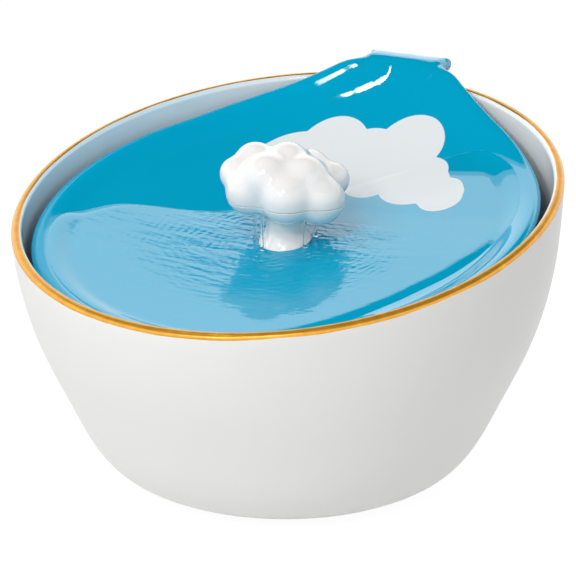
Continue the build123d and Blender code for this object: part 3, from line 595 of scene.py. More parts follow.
def tray_under(x, y):
    """Height of the underside, which keeps clear of the bowl's rim and thickens at the hook."""
    hook = min(1.0, max(0.0, (y - HOOK_START) / (TAB_END - HOOK_WALL - HOOK_START)))
    wall = TRAY_WALL + (HOOK_WALL - TRAY_WALL) * hook
    steep = (tray_face(x, y + 0.5) - tray_face(x, y - 0.5)) if y < TAB_CREST else 0.0
    height = tray_face(x, y) - wall * math.hypot(1, steep) + (wall - EDGE_ROUND) * edge_fall(x, y)
    if math.hypot(x, y) > wall_radius(inside, rim_height(y)) - 2 * SEAT_GAP:
        height = max(height, rim_height(y) + SEAT_GAP)
    return min(height, tray_top(x, y))


print("tray's middle", round(tray_face(0, 0), 2), "edge", round(tray_face(0, -TRAY_RADIUS), 2))


# %% Tray mesh
def tray_outline():
    """The plan, from the middle of the tab's end round by the right-hand side and back."""
    edge = TAB_END - TAB_CORNER
    touch = TRAY_RADIUS * math.sin(touch_angle), TRAY_RADIUS * math.cos(touch_angle)
    half = [(x, TAB_END) for x in np.linspace(0, TAB_HALF_WIDTH - TAB_CORNER, 10)[:-1]]
    half += arc((TAB_HALF_WIDTH - TAB_CORNER, edge), TAB_CORNER, 90, 0, 6)
    half += [(TAB_HALF_WIDTH, y) for y in np.linspace(edge, TAB_CREST, 6)[1:]]
    across, along = touch[0] - TAB_HALF_WIDTH, touch[1] - TAB_CREST
    half += [(TAB_HALF_WIDTH + across * i / SLOPE_STEPS, TAB_CREST + along * i / SLOPE_STEPS)
             for i in range(1, SLOPE_STEPS + 1)]
    half += arc((0, 0), TRAY_RADIUS, 90 - math.degrees(touch_angle), -90, DISH_STEPS)[1:]
    return half + [(-x, y) for x, y in half[-2:0:-1]]


def make_tray():
    bm = bmesh.new()
    outline = [bm.verts.new((x, y, tray_top(x, y))) for x, y in tray_outline()]
    edge = [bm.edges.new((a, b)) for a, b in zip(outline, outline[1:] + outline[:1])]

    def skin(height):
        """Rings from the outline inwards, on the face or on the underside."""
        def place(co):
            x, y = co.x * factor, co.y * factor
            return Vector((x, y, height(x, y)))

        ring, shrunk = edge, 0.0
        for inset in FACE_RINGS:
            factor = (TRAY_RADIUS - inset) / (TRAY_RADIUS - shrunk)
            ring = next_ring(bm, ring, place)
            shrunk = inset
        return ring

    def circle(radius, height):
        def place(co):
            x, y = co.xy.normalized() * radius
            return Vector((x, y, height(x, y) if callable(height) else height))
        return place

    ring = skin(tray_top)
    ring = next_ring(bm, ring, circle(HOLE_RADIUS + 2.0, tray_top))
    for inset, drop in ((1.0, 0.05), (0.5, 0.2), (0.15, 0.55), (0, 1.0)):
        ring = next_ring(bm, ring, circle(HOLE_RADIUS + inset, lambda x, y: tray_top(x, y) - drop))
    ring = next_ring(bm, ring, circle(HOLE_RADIUS, COLLAR_END + 0.4))
    for radius, rise in ((HOLE_RADIUS + 0.4, 0), (COLLAR_RADIUS - 0.8, 0), (COLLAR_RADIUS - 0.2, 0.2),
                         (COLLAR_RADIUS, 0.8)):
        ring = next_ring(bm, ring, circle(radius, COLLAR_END + rise))
    next_ring(bm, ring, circle(COLLAR_RADIUS, tray_under))
    next_ring(bm, skin(tray_under), circle(COLLAR_RADIUS, tray_under))
    tray = finish_piece("glazed_tray", bm, crease=50)
    combine(tray, hook_curl(), "UNION")
    return tray


def hook_curl():
    """The rolled end of the hook, with the shallow scroll that shows at its two ends."""
    bm = bmesh.new()
    end, curl = TAB_HALF_WIDTH - 0.1, HOOK_WALL / 2
    scroll = [(0, end - 0.9), (0.9, end - 0.85), (1.25, end - 0.5), (1.45, end - 0.1), (1.8, end),
              (2.2, end - 0.1), (2.6, end - 0.4), (curl - 0.05, end - 0.9), (curl, end - 1.6)]
    turned_solid(bm, scroll + [(radius, -x) for radius, x in scroll[::-1]], steps=48)
    turn = Matrix.Rotation(math.radians(90), 4, "Y")
    bmesh.ops.transform(bm, matrix=turn, verts=bm.verts)
    bmesh.ops.translate(bm, vec=(0, TAB_END - curl, TAB_HEIGHT - curl - 0.1), verts=bm.verts)
    return finish_piece("curl", bm)


tray = make_tray()

# %% [markdown]
# The tray's glaze is a deep turquoise under a thick clear coat, so it mirrors the room almost as
# glass does. A plain white cloud shape is printed on the right of the ramp, in a duller white that
# mirrors little. It is a union of round lobes in the plan, turned to face the front left: each
# lobe's distance is worked out in the node tree, and the smallest one says where the white is. The
# glaze also runs thin over the raised lip on the left, and is duller there.

# %% Blue glaze with the white cloud
GLAZE_BLUE, GLAZE_DEEP = (0.0, 0.385, 0.605), (0.0, 0.35, 0.57)
GLAZE_ROUGHNESS, GLAZE_IOR = 0.035, 1.6
GLAZE_SPECULAR, PRINT_SPECULAR, THIN_SPECULAR_LOSS = 0.5, 0.04, 0.4
THIN_REACH, THIN_SIDE = (102.6, 104.6), (0, 40)
PRINT_TURN = math.radians(-27.5)
PRINT_WHITE = (0.765, 0.80, 0.82)
PRINT_EDGE, PRINT_JOIN, PRINT_HEIGHT = 0.15, 1.2, (90, 94)
PRINT_LOBES = [(4.6, 62.8, 22.2), (21.3, 72.4, 16.3), (35.6, 60.4, 16.9), (55.0, 60.2, 16.5),
               (61.0, 39.5, 11.2), (67.2, 18.8, 10.8), (68.0, 22.6, 9.6), (67.4, 14.6, 9.6),
               (56.6, 31.4, 15.8), (36.3, 38.7, 10.7), (30.0, 54.0, 18.0), (14.0, 47.0, 14.0),
               (47.0, 46.0, 11.0)]


def print_mask(finish):
    """1 inside the printed cloud."""
    x, y, _ = finish.axes(finish.turned(PRINT_TURN))
    nearest = None
    for across, back, radius in PRINT_LOBES:
        middle = finish.maths("SUBTRACT", x, across * MM), finish.maths("SUBTRACT", y, back * MM)
        gap = finish.maths("SUBTRACT", finish.length(*middle), radius * MM)
        nearest = gap if nearest is None else finish.maths("SMOOTH_MIN", nearest, gap, PRINT_JOIN * MM)
    return finish.ramp(nearest, -PRINT_EDGE * MM, PRINT_EDGE * MM, 1, 0)


def blue_glaze(name="blue_glaze", roughness=GLAZE_ROUGHNESS):
    finish = Finish(name, GLAZE_BLUE, roughness)
    finish.set("IOR", GLAZE_IOR)
    depth = finish.mix(finish.noise(9, 2), GLAZE_DEEP, GLAZE_BLUE)
    on_face = finish.ramp(finish.axes()[2], *[height * MM for height in PRINT_HEIGHT])
    finish.printed = finish.times(print_mask(finish), on_face)
    finish.link("Base Color", finish.mix(finish.printed, depth, PRINT_WHITE))
    x, y, _ = finish.axes(finish.turned(PRINT_TURN))
    thin = finish.times(finish.ramp(finish.length(x, y), *[reach * MM for reach in THIN_REACH]),
                        finish.ramp(x, *[side * MM for side in THIN_SIDE], 1, 0))
    gloss = finish.ramp(finish.printed, 0, 1, GLAZE_SPECULAR, PRINT_SPECULAR)
    finish.link("Specular IOR Level",
                finish.maths("SUBTRACT", gloss, finish.times(thin, THIN_SPECULAR_LOSS), clamp=True))
    finish.bump(finish.noise(16, 1), 0.25 * MM, 0.12)
    return finish


# %% [markdown]
# ## Cloud spout
#
# The cloud is cast in two halves that meet at a fine seam. Its shape is a heap of soft lobes that
# run into each other. Balls laid over each other give the lobes, a voxel remesh makes one skin of
# them, and smoothing rounds the creases as thick glaze does. The skin is then parted at the seam:
# the upper half is hollowed from below, and the lower half gets its stem, its chamber, the bore and
# the ring of rain holes.

# %% Cloud sizes
TRAY_CENTRE = 105.6
CLOUD_CENTRE, SEAM_HEIGHT, SEAM_GAP, SEAM_SOFT = 131.8, 125.3, 0.3, 0.2
CLOUD_CORE = (20.8, 19.8, 13.8)
CLOUD_LOBES = {
    "front_left": (-11.0, -12.5, -2.2, 9.6),
    "front": (7.0, -12.5, -3.0, 10.7),
    "front_right": (17.9, -2.6, -4.4, 10.4),
    "right": (14.7, 16.3, -0.7, 7.1),
    "back_right": (5.8, 19.7, -3.2, 8.2),
    "back": (-7.2, 16.5, -3.2, 9.6),
    "back_left": (-17.8, 6.6, -2.1, 8.7),
    "left": (-19.3, -8.6, 3.7, 6.9),
    "top_left": (-14.8, 0.8, 6.4, 9.0),
    "top_front": (-3.6, -10.9, 4.3, 10.4),
    "top": (-0.3, 2.6, 7.0, 9.7),
    "top_right": (10.3, -2.5, 2.7, 10.7),
    "top_back": (5.2, 14.0, 4.4, 7.2),
}
LOBE_SWELL, VOXEL, SMOOTHING = 0.9, 0.55, 100
CHAMBER_RADIUS, CHAMBER_FLOOR, CHAMBER_ROOF, CHAMBER_ROUND = 16.0, 122.8, 136.8, 6.0
ROSE_PLATE, SOCKET_WALL, SOCKET_HEIGHT = 1.6, 1.8, 2.4
STEM_RADIUS, STEM_FOOT_RADIUS = 8.4, 11.6
FLARE_HEIGHT, FLARE_POWER, FLARE_STEPS = 7.0, 2.2, 10
SPIGOT_RADIUS, SPIGOT_END, TAIL_RADIUS, TAIL_END = 8.6, 92.6, 5.7, 80.6
SPOUT_BORE = 4.0
RAIN_RADIUS, RAIN_HOLE, RAIN_HOLES = 13.0, 0.9, 8


# %% Cloud skin
def cloud_skin():
    """One smooth closed mesh, in metres, for the whole cloud."""
    bm = bmesh.new()
    centre = Vector((0, 0, CLOUD_CENTRE))
    core = Matrix.Translation(centre) @ Matrix.Diagonal((*CLOUD_CORE, 1))
    bmesh.ops.create_icosphere(bm, subdivisions=5, radius=1, matrix=core)
    for x, y, z, radius in CLOUD_LOBES.values():
        place = Matrix.Translation(centre + Vector((x, y, z)))
        bmesh.ops.create_icosphere(bm, subdivisions=4, radius=radius + LOBE_SWELL, matrix=place)
    rose_low = CHAMBER_FLOOR - ROSE_PLATE
    rose = Matrix.Translation((0, 0, (rose_low + CLOUD_CENTRE) / 2))
    rose_radius = CHAMBER_RADIUS + SOCKET_WALL
    bmesh.ops.create_cone(bm, cap_ends=True, segments=96, radius1=rose_radius, radius2=rose_radius,
                          depth=CLOUD_CENTRE - rose_low, matrix=rose)
    bmesh.ops.scale(bm, vec=(MM, MM, MM), verts=bm.verts)
    mesh = bpy.data.meshes.new("cloud")
    bm.to_mesh(mesh)
    bm.free()
    lumps = bpy.data.objects.new("cloud", mesh)
    bpy.context.scene.collection.objects.link(lumps)
    remesh = lumps.modifiers.new("remesh", "REMESH")
    remesh.mode, remesh.voxel_size = "VOXEL", VOXEL * MM
    skin = bpy.data.meshes.new_from_object(lumps.evaluated_get(bpy.context.evaluated_depsgraph_get()))
    bpy.data.objects.remove(lumps)
    bm = bmesh.new()
    bm.from_mesh(skin)
    bmesh.ops.scale(bm, vec=(1 / MM, 1 / MM, 1 / MM), verts=bm.verts)
    for _ in range(SMOOTHING):
        bmesh.ops.smooth_vert(bm, verts=bm.verts, factor=0.5,
                              use_axis_x=True, use_axis_y=True, use_axis_z=True)
    bm.to_mesh(skin)
    bm.free()
    return skin


skin = cloud_skin()
print("cloud skin", len(skin.polygons), "faces")


# %% Cloud halves
def rain_hole(hole):
    """Where a rain hole's axis meets the plan."""
    angle = 2 * math.pi * (hole + 0.5) / RAIN_HOLES
    return RAIN_RADIUS * math.cos(angle), RAIN_RADIUS * math.sin(angle)


def half_of(skin, height, keep_upper):
    """The part of the skin on one side of the seam, closed, with a softened edge."""
    bm = bmesh.new()
    bm.from_mesh(skin)
    outward = -1 if keep_upper else 1
    geometry = bm.verts[:] + bm.edges[:] + bm.faces[:]
    bmesh.ops.bisect_plane(bm, geom=geometry, dist=0.0001, plane_co=(0, 0, height - outward * SEAM_SOFT),
                           plane_no=(0, 0, outward), clear_outer=True)
    border = [edge for edge in bm.edges if edge.is_boundary]
    for inset, fall in ((0.01, 0.1), (0.04, 0.16), (0.1, 0.2)):
        level = height - outward * (SEAM_SOFT - fall)
        border = next_ring(bm, border, lambda co: seam_point(co, level, inset))
    bmesh.ops.contextual_create(bm, geom=border)
    return bm


def seam_point(co, height, inset):
    """A seam point drawn in towards the cloud's axis."""
    radius = co.xy.length
    x, y = co.xy * ((radius - inset) / radius)
    return Vector((x, y, height))


def make_cloud_cap():
    cap = finish_piece("cloud_top", half_of(skin, SEAM_HEIGHT + SEAM_GAP / 2, True), crease=60)
    bm = bmesh.new()
    recess = CHAMBER_RADIUS + SOCKET_WALL + SEAT_GAP
    ledge = SEAM_HEIGHT + SOCKET_HEIGHT + SEAT_GAP
    roof = arc((CHAMBER_RADIUS - CHAMBER_ROUND, CHAMBER_ROOF - CHAMBER_ROUND), CHAMBER_ROUND, 0, 90, 8)
    turned_solid(bm, [(0, SEAM_HEIGHT - 4), (recess, SEAM_HEIGHT - 4), (recess, ledge),
                      (CHAMBER_RADIUS, ledge)] + roof + [(0, CHAMBER_ROOF)])
    combine(cap, finish_piece("hollow", bm), "DIFFERENCE")
    return cap


def make_cloud_base():
    base = finish_piece("cloud_lower", half_of(skin, SEAM_HEIGHT - SEAM_GAP / 2, False), crease=60)
    bm = bmesh.new()
    foot, top = TRAY_CENTRE + SEAT_GAP, SEAM_HEIGHT + SOCKET_HEIGHT
    rose_low, socket = CHAMBER_FLOOR - ROSE_PLATE, CHAMBER_RADIUS + SOCKET_WALL
    spigot = [(0, TAIL_END), (TAIL_RADIUS - 0.5, TAIL_END), (TAIL_RADIUS, TAIL_END + 0.5),
              (TAIL_RADIUS, SPIGOT_END), (SPIGOT_RADIUS - 0.5, SPIGOT_END), (SPIGOT_RADIUS, SPIGOT_END + 0.5),
              (SPIGOT_RADIUS, foot - 4), (SPIGOT_RADIUS, foot)]
    flare = [(STEM_FOOT_RADIUS - 0.3, foot), (STEM_FOOT_RADIUS, foot + 0.35)]
    for i in range(FLARE_STEPS + 1):
        share = i / FLARE_STEPS
        flare.append((STEM_RADIUS + (STEM_FOOT_RADIUS - 0.1 - STEM_RADIUS) * (1 - share) ** FLARE_POWER,
                      foot + 0.8 + FLARE_HEIGHT * share))
    neck = [(STEM_RADIUS, rose_low - 1.6), (STEM_RADIUS + 0.5, rose_low - 0.5),
            (STEM_RADIUS + 1.6, rose_low + 0.1), (socket - 3, rose_low + 0.1), (socket - 3, rose_low + 2),
            (socket, rose_low + 3), (socket, top - 0.3), (socket - 0.3, top), (0, top)]
    turned_solid(bm, spigot + flare + neck)
    for vert in bm.verts:
        share = min(1.0, max(0.0, (foot + FLARE_HEIGHT + 2 - vert.co.z) / FLARE_HEIGHT))
        if vert.co.z > foot - 0.01 and share > 0:
            vert.co.z += (tray_face(vert.co.x, vert.co.y) - TRAY_CENTRE) * share
    combine(base, finish_piece("stem", bm), "UNION")
    bm = bmesh.new()
    turned_solid(bm, [(0, CHAMBER_FLOOR), (CHAMBER_RADIUS - 1, CHAMBER_FLOOR),
                      (CHAMBER_RADIUS, CHAMBER_FLOOR + 1), (CHAMBER_RADIUS, top + 4), (0, top + 4)])
    combine(base, finish_piece("chamber", bm), "DIFFERENCE")
    bm = bmesh.new()
    bmesh.ops.create_cone(bm, cap_ends=True, segments=48, radius1=SPOUT_BORE, radius2=SPOUT_BORE, depth=80,
                          matrix=Matrix.Translation((0, 0, TAIL_END + 10)))
    for hole in range(RAIN_HOLES):
        bmesh.ops.create_cone(bm, cap_ends=True, segments=16, radius1=RAIN_HOLE, radius2=RAIN_HOLE, depth=12,
                              matrix=Matrix.Translation((*rain_hole(hole), CHAMBER_FLOOR)))
    combine(base, finish_piece("drills", bm), "DIFFERENCE")
    return base


cloud_cap = make_cloud_cap()
cloud_base = make_cloud_base()


# %% [markdown]
# The cloud has a thick white glaze, glossier than the bowl's. Low on the cloud it is painted warmer and
# whiter: painted light, which offsets the blue light that the tray throws up onto it.

# %% Cloud glaze
# The warm colour low on the cloud is painted light: it offsets the blue light from the tray on the cloud's
# underside.
CLOUD_DULL, CLOUD_BRIGHT, CLOUD_PAINTED_LIGHT = (0.86, 0.845, 0.83), (0.885, 0.87, 0.855), (0.97, 0.905, 0.86)
PAINTED_LIGHT_HEIGHT = (116, 136)


def cloud_ceramic():
    finish = Finish("cloud_ceramic", (0.90, 0.89, 0.88), 0.08)
    # Painted light: low on the cloud the colour is mixed towards a warmer, whiter one.
    low = finish.ramp(finish.axes()[2], *[height * MM for height in PAINTED_LIGHT_HEIGHT], 1, 0)
    white = finish.mix(finish.noise(30, 3), CLOUD_DULL, CLOUD_BRIGHT)
    finish.link("Base Color", finish.mix(low, white, CLOUD_PAINTED_LIGHT))
    finish.bump(finish.noise(60, 2), 0.08 * MM, 0.2)
    return finish.material


# %% [markdown]
# ## Water
#
# Water falls in thin strands from the rain holes and spreads over the tray as a film that ripples
# where the strands land. The film is modelled as a thin closed sheet on the glaze, with the rounded
# edge that water keeps on a glossy surface. It is so thin and clear that it has the colour of the
# glaze under it, so it takes the glaze's finish. Its outline is a shoreline in the plan, given as
# angles and distances from the stem, and the mesh is that ring of edges, extruded in towards the
# stem on top and back out underneath.

# %% Water film
SHORE = [(-180, 82), (-175, 88), (-170, 95), (-165, 101), (-158, 102.6), (-141, 103), (-129, 103),
         (-105, 103), (-90, 102), (-75, 100), (-62, 96), (-50, 91), (-36, 87), (-23, 86.5), (-12, 89.5),
         (-3, 92), (5, 95), (11, 98), (19, 100), (28, 101), (40, 102), (48, 100), (52, 98), (56, 97),
         (57.5, 93), (60, 86), (64, 78), (70, 64), (80, 49), (95, 39), (115, 34), (135, 33), (150, 36),
         (160, 40), (168, 47), (174, 59), (177, 70)]
SHORE_STEPS, SHORE_BLUR = 288, 4
FILM_DEPTH, FILM_EDGE, FILM_LIFT = 1.1, 7.0, 0.02
FILM_INNER = STEM_FOOT_RADIUS + 0.06
THIN_FROM, THIN_OVER, THIN_SHARE = 5, 35, 0.85
MENISCUS, MENISCUS_WIDTH = 0.15, 0.9


def film_depth(inset, x, y):
    """Water's depth, from its distance to the shore and to the stem. It thins out towards the back."""
    share = min(1.0, inset / FILM_EDGE)
    behind = min(1.0, max(0.0, (y + THIN_FROM) / THIN_OVER))
    depth = FILM_DEPTH * (1 - THIN_SHARE * behind)
    climb_up = MENISCUS * math.exp(-(math.hypot(x, y) - FILM_INNER) / MENISCUS_WIDTH)
    return FILM_LIFT + depth * (1 - (1 - share) ** 2) + climb_up


def make_water_film():
    bm = bmesh.new()
    angles = np.linspace(-180, 180, SHORE_STEPS, endpoint=False)
    shore = np.interp(angles, *np.array(SHORE, float).T, period=360)
    bell = np.hanning(2 * SHORE_BLUR + 3)
    around = np.concatenate([shore[-SHORE_BLUR:], shore, shore[:SHORE_BLUR]])
    shore = np.convolve(around, bell[1:-1] / bell.sum(), "valid")

    def shore_radius(x, y):
        return float(np.interp(math.degrees(math.atan2(y, x)), angles, shore, period=360))

    def place(inset, share, on_top):
        """Where a point goes: inset from the shore first, then by share of the way to the stem."""
        def put(co):
            radius = shore_radius(co.x, co.y) - inset
            radius += (FILM_INNER - radius) * share
            x, y = co.xy.normalized() * radius
            from_shore = shore_radius(x, y) - radius
            lift = film_depth(from_shore, x, y) if on_top else FILM_LIFT / 2
            return Vector((x, y, tray_top(x, y) + lift))
        return put

    ring = [bm.verts.new((math.cos(math.radians(a)), math.sin(math.radians(a)), 0)) for a in angles]
    shoreline = [bm.edges.new((a, b)) for a, b in zip(ring, ring[1:] + ring[:1])]
    for vert in ring:
        vert.co = place(0, 0, False)(vert.co)
    path = [(inset, 0) for inset in (0.02, 0.25, 0.6, 1.1, 1.8, 2.7, 3.8, 5.2, FILM_EDGE)]
    path += [(FILM_EDGE, share) for share in np.linspace(0, 1, 64)[1:] ** 0.92]
    top = low = shoreline
    for inset, share in path:
        top = next_ring(bm, top, place(inset, share, True))
    for inset, share in path[4::4]:
        low = next_ring(bm, low, place(inset, share, False))
    bmesh.ops.bridge_loops(bm, edges=top + low)
    return finish_piece("water_film", bm, crease=70)


water_film = make_water_film()

# %% [markdown]
# Each strand is a slender rod of clear water: a little thicker where it leaves its hole, thin on
# the way down, and wider again where it meets the film. A short turned profile gives that, and each
# strand gets its own slight sway, because falling water is never quite straight.

# %% Water strands
RUNNING_HOLES = (0, 3, 4, 5, 7)
STRAND_STATIONS = [(0, 0), (1.2, 0), (1.0, 0.03), (0.82, 0.1), (0.72, 0.25), (0.66, 0.5), (0.7, 0.75),
                   (0.76, 0.95), (0.74, 1), (0, 1)]


def make_water_strands():
    bm = bmesh.new()
    for hole in RUNNING_HOLES:
        x, y = rain_hole(hole)
        low, high = tray_top(x, y) + FILM_DEPTH, CHAMBER_FLOOR - 1.2
        strand = bmesh.new()
        turned_solid(strand, [(radius, low + (high - low) * share) for radius, share in STRAND_STATIONS],
                     steps=16)
        bmesh.ops.subdivide_edges(strand, edges=[e for e in strand.edges if e.calc_length() > 1.5], cuts=3)
        for vert in strand.verts:
            sway = noise.noise(Vector((hole * 7.3, 0, vert.co.z * 0.22)))
            vert.co += Vector((x + 0.18 * sway, y - 0.12 * sway, 0))
        mesh = bpy.data.meshes.new("strand")
        strand.to_mesh(mesh)
        strand.free()
        bm.from_mesh(mesh)
        bpy.data.meshes.remove(mesh)
    return finish_piece("water_strands", bm, crease=80)


water_strands = make_water_strands()


# %% [markdown]
# The film's surface is the glaze's colour with the gloss of water. Rings spread from where each
# strand lands and cross each other, and a slow drift pulls them into long streaks. Both are heights
# in the node tree that go to a Bump node, and both calm down away from the stem and towards the
# back. A third height makes the film mirror as level water does, though the mesh follows the dish.

# %% Water finishes
RING_LENGTH, RING_HEIGHT, RING_WANDER = 3.6, 0.018, 16.0
STREAK_HEIGHT, STREAK_SCALE, STREAK_STRETCH = 0.60, 250, 0.22
CALM_REACH, CALM_LEFT, CALM_BACK = (20, 74), 0.08, (8, 30)
FILM_LEAN, FILM_LEVEL = -0.105, 0.75


def water_on_glaze():
    finish = blue_glaze("water_film", 0.012)
    x, y, _ = finish.axes()
    rings = 0.0
    for hole in RUNNING_HOLES:
        from_here = [finish.maths("SUBTRACT", axis, centre * MM)
                     for axis, centre in zip((x, y), rain_hole(hole))]
        turns = finish.times(finish.length(*from_here), 2 * math.pi / (RING_LENGTH * MM))
        wander = finish.times(finish.noise(70, 3), RING_WANDER)
        rings = finish.maths("ADD", rings, finish.maths("SINE", finish.maths("ADD", turns, wander)))
    reach = finish.length(x, y)
    calm = finish.times(finish.ramp(reach, *[end * MM for end in CALM_REACH], 1, CALM_LEFT),
                        finish.ramp(y, *[end * MM for end in CALM_BACK], 1, 0))
    streaks = finish.noise(STREAK_SCALE, 3, finish.turned(PRINT_TURN, (STREAK_STRETCH, 1, 1)))
    ripples = finish.dot((rings, streaks), (RING_HEIGHT * MM, STREAK_HEIGHT * MM))
    across = finish.axes(finish.turned(PRINT_TURN))[0]
    level = finish.dot((finish.times(reach, reach), across),
                       (-FILM_LEVEL * DISH_SAG / (TRAY_RADIUS ** 2 * MM), FILM_LEAN))
    finish.bump(finish.maths("ADD", finish.times(ripples, calm), level), 1.0,
                finish.maths("SUBTRACT", 1.0, finish.printed))
    return finish.material


def clear_water():
    finish = Finish("clear_water", (0.93, 0.97, 0.98), 0.02)
    finish.set("IOR", 1.33)
    finish.set("Transmission Weight", 1.0)
    finish.bump(finish.noise(180, 2), 0.3 * MM, 0.5)
    return finish.material


# %% [markdown]
# ## Filter foam
#
# The filter box holds a block of open foam, sawn from a sheet and pressed in. A rounded block with
# slightly hollow faces and a pitted skin looks like that. It starts as a cube of the solid's own
# size, is cut finely, gets round edges from Bevel, and its faces are drawn in between the corners.

# %% Foam block
FOAM_ROUND, FOAM_HOLLOW, FOAM_RAGGED = 0.9, 0.35, 0.12


def make_foam():
    low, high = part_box("foam_block")
    low, high = low / MM, high / MM
    size, middle = high - low, (high + low) / 2
    bm = bmesh.new()
    bmesh.ops.create_cube(bm, size=1)
    bmesh.ops.scale(bm, vec=size, verts=bm.verts)
    bmesh.ops.bevel(bm, geom=bm.edges[:], offset=FOAM_ROUND, segments=3, profile=0.5, affect="EDGES",
                    material=-1)
    long = [edge for edge in bm.edges if edge.calc_length() > 3]
    bmesh.ops.subdivide_edges(bm, edges=long, cuts=12, use_grid_fill=True)
    for vert in bm.verts:
        x, y, z = (2 * vert.co[i] / size[i] for i in range(3))
        hollow = (1 - min(1, x * x)) * (1 - min(1, z * z))
        vert.co.y -= FOAM_HOLLOW * hollow * (1 if vert.co.y > 0 else -1)
        vert.co += FOAM_RAGGED * Vector(noise.noise_vector(vert.co * 0.9)) * hollow
    bmesh.ops.translate(bm, vec=middle, verts=bm.verts)
    return finish_piece("filter_foam", bm, crease=60)


foam = make_foam()


def sponge():
    finish = Finish("foam", (0.045, 0.05, 0.055), 0.95)
    pit_relief_and_shade = finish.ramp(finish.cells(900), 0.1, 0.6)
    # The pits are painted darker than the foam between them: painted shade in the hollows that the bump
    # makes.
    finish.link("Base Color", finish.mix(pit_relief_and_shade, (0.012, 0.014, 0.017), (0.085, 0.095, 0.105)))
    finish.bump(pit_relief_and_shade, 0.5 * MM, 0.9)
    return finish.material


# %% [markdown]
# ## Finishes of the machine
#
# The pump, the hose and the filter keep their solids, and each needs the look of its own stuff:
# moulded plastic has a fine spark-eroded grain, rubber is dull and slightly mottled, steel sheets
# are stacked, wire is wound, and carbon is crushed grain. One recipe covers them all: two tones
# mixed by a noise, a roughness that drifts with it, and a bump from grain, stripes or cells.

# %% Machine finishes
GRAIN_SCALE, GRAIN_DEPTH, GRAIN_STRENGTH = 500, 0.05, 0.5
ROUGHNESS_DRIFT = 0.12


def fine_grain(finish):
    """The grain of a spark-eroded mould."""
    finish.bump(finish.noise(GRAIN_SCALE, 2), GRAIN_DEPTH * MM, GRAIN_STRENGTH)


def grooves(axis, pitch, depth):
    """Grooves across one axis, as stacked sheets and wound wire make them."""
    def relief(finish):
        turns = finish.times(finish.axes()[axis], 2 * math.pi / (pitch * MM))
        finish.bump(finish.maths("SINE", turns), depth * MM, 0.6)
    return relief


def crushed_grains(finish):
    finish.bump(finish.cells(700), 0.5 * MM, 0.9)


def plain_stuff(name, dark, light, roughness, metallic=0.0, scale=60, relief=fine_grain):
    """Two tones, a drifting roughness and a relief."""
    finish = Finish(name, light, roughness, metallic)
    cloudy = finish.noise(scale, 4)
    finish.link("Base Color", finish.mix(cloudy, dark, light))
    finish.link("Roughness", finish.ramp(cloudy, 0.3, 0.7, roughness - ROUGHNESS_DRIFT / 2,
                                         roughness + ROUGHNESS_DRIFT / 2))
    relief(finish)
    return finish.material


PLAIN_STUFFS = {
    "seal_rubber": ((0.016, 0.017, 0.019), (0.035, 0.036, 0.038), 0.62),
    "silicone": ((0.56, 0.60, 0.62), (0.70, 0.74, 0.75), 0.34, 0.0, 25),
    "pump_plastic": ((0.030, 0.032, 0.036), (0.052, 0.055, 0.060), 0.46),
    "lamination_steel": ((0.26, 0.26, 0.27), (0.42, 0.42, 0.43), 0.36, 0.9, 60, grooves(1, 0.7, 0.08)),
    "bobbin_plastic": ((0.60, 0.57, 0.49), (0.72, 0.69, 0.61), 0.48),
    "copper_wire": ((0.52, 0.20, 0.07), (0.78, 0.36, 0.15), 0.3, 0.9, 60, grooves(2, 0.5, 0.1)),
    "potting_resin": ((0.010, 0.010, 0.012), (0.028, 0.028, 0.031), 0.22),
    "ferrite": ((0.045, 0.045, 0.048), (0.085, 0.083, 0.082), 0.55, 0.3, 140),
    "impeller_plastic": ((0.62, 0.64, 0.64), (0.74, 0.76, 0.76), 0.38),
    "shaft_steel": ((0.50, 0.51, 0.52), (0.66, 0.67, 0.68), 0.2, 1.0),
    "dial_plastic": ((0.30, 0.33, 0.36), (0.40, 0.43, 0.46), 0.42),
    "box_plastic": ((0.42, 0.47, 0.51), (0.52, 0.57, 0.61), 0.36, 0.0, 30),
    "cartridge_plastic": ((0.66, 0.67, 0.66), (0.78, 0.79, 0.78), 0.4),
    "carbon": ((0.008, 0.008, 0.009), (0.045, 0.045, 0.048), 0.6, 0.0, 60, crushed_grains),
    "cup_rubber": ((0.42, 0.45, 0.47), (0.54, 0.57, 0.58), 0.32, 0.0, 35),
}
finishes = {"white_ceramic": white_ceramic(), "blue_glaze": blue_glaze().material,
            "cloud_ceramic": cloud_ceramic(), "foam": sponge()}
for stuff_name, stuff in PLAIN_STUFFS.items():
    finishes[stuff_name] = plain_stuff(stuff_name, *stuff)
print(len(finishes), "finishes")

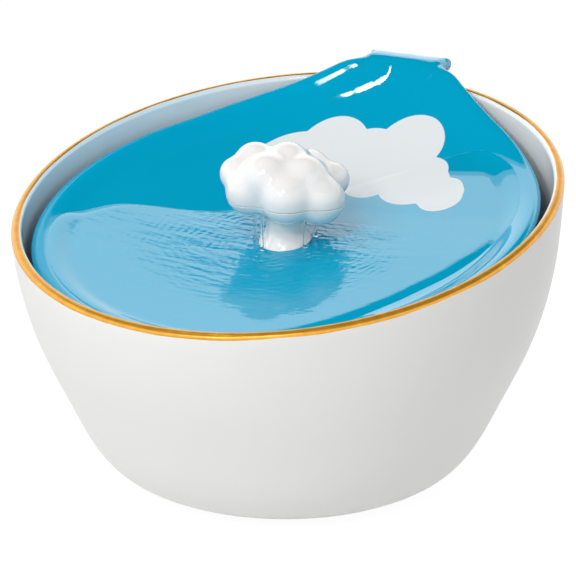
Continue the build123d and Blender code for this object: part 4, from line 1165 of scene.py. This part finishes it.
# %% Dress every piece
dress(bowl, "base", "white_ceramic", "bowl")
dress(tray, "tray", "blue_glaze", "tray")
dress(cloud_cap, "cap", "cloud_ceramic", "cloud_cap")
dress(cloud_base, "spout", "cloud_ceramic", "cloud_base")
dress(foam, "base", "foam", "foam_block")

for water, body, look in ((water_film, "tray", water_on_glaze()), (water_strands, "spout", clear_water())):
    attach(water, body)
    water.data.materials.append(look)
    print(water.name, len(water.data.polygons), "faces")

node_slots = {node["node"]: node["material_slot"] for node in frame["record"]["subparts"]}
for name, node in frame["nodes"].items():
    node.data.materials.clear()
    node.data.materials.append(finishes[node_slots[name]])
print(len(node_slots), "nodes dressed")

# %% [markdown]
# ## Floor
#
# The fountain stands on plain white paper. To the camera and in reflections the paper glows, by
# Light Path, so that it is as white as the background. A share of plain matt white stays in the mix,
# so that the soft shadow under the bowl still shows.

# %% Floor
FLOOR_SIZE, FLOOR_GLOW, GLOW_STRENGTH, PAPER_WHITE = 8.0, 0.84, 1.12, 0.865


def make_floor():
    bm = bmesh.new()
    bmesh.ops.create_grid(bm, x_segments=2, y_segments=2, size=FLOOR_SIZE / 2)
    mesh = bpy.data.meshes.new("floor")
    bm.to_mesh(mesh)
    bm.free()
    floor = bpy.data.objects.new("floor", mesh)
    bpy.context.scene.collection.objects.link(floor)
    paper = Finish("floor_paper", (PAPER_WHITE,) * 3, 0.9)
    paper.set("Specular IOR Level", 0.0)
    nodes, links = paper.tree.nodes, paper.tree.links
    glow = nodes.new("ShaderNodeEmission")
    glow.inputs["Strength"].default_value = GLOW_STRENGTH
    rays = nodes.new("ShaderNodeLightPath").outputs
    seen = paper.maths("MAXIMUM", rays["Is Camera Ray"], rays["Is Glossy Ray"])
    seen = paper.maths("MAXIMUM", seen, rays["Is Transmission Ray"])
    mix = nodes.new("ShaderNodeMixShader")
    links.new(paper.times(seen, FLOOR_GLOW), mix.inputs[0])
    links.new(paper.skin.outputs[0], mix.inputs[1])
    links.new(glow.outputs[0], mix.inputs[2])
    links.new(mix.outputs[0], nodes["Material Output"].inputs["Surface"])
    mesh.materials.append(paper.material)
    print("floor", FLOOR_SIZE, "m wide")


make_floor()
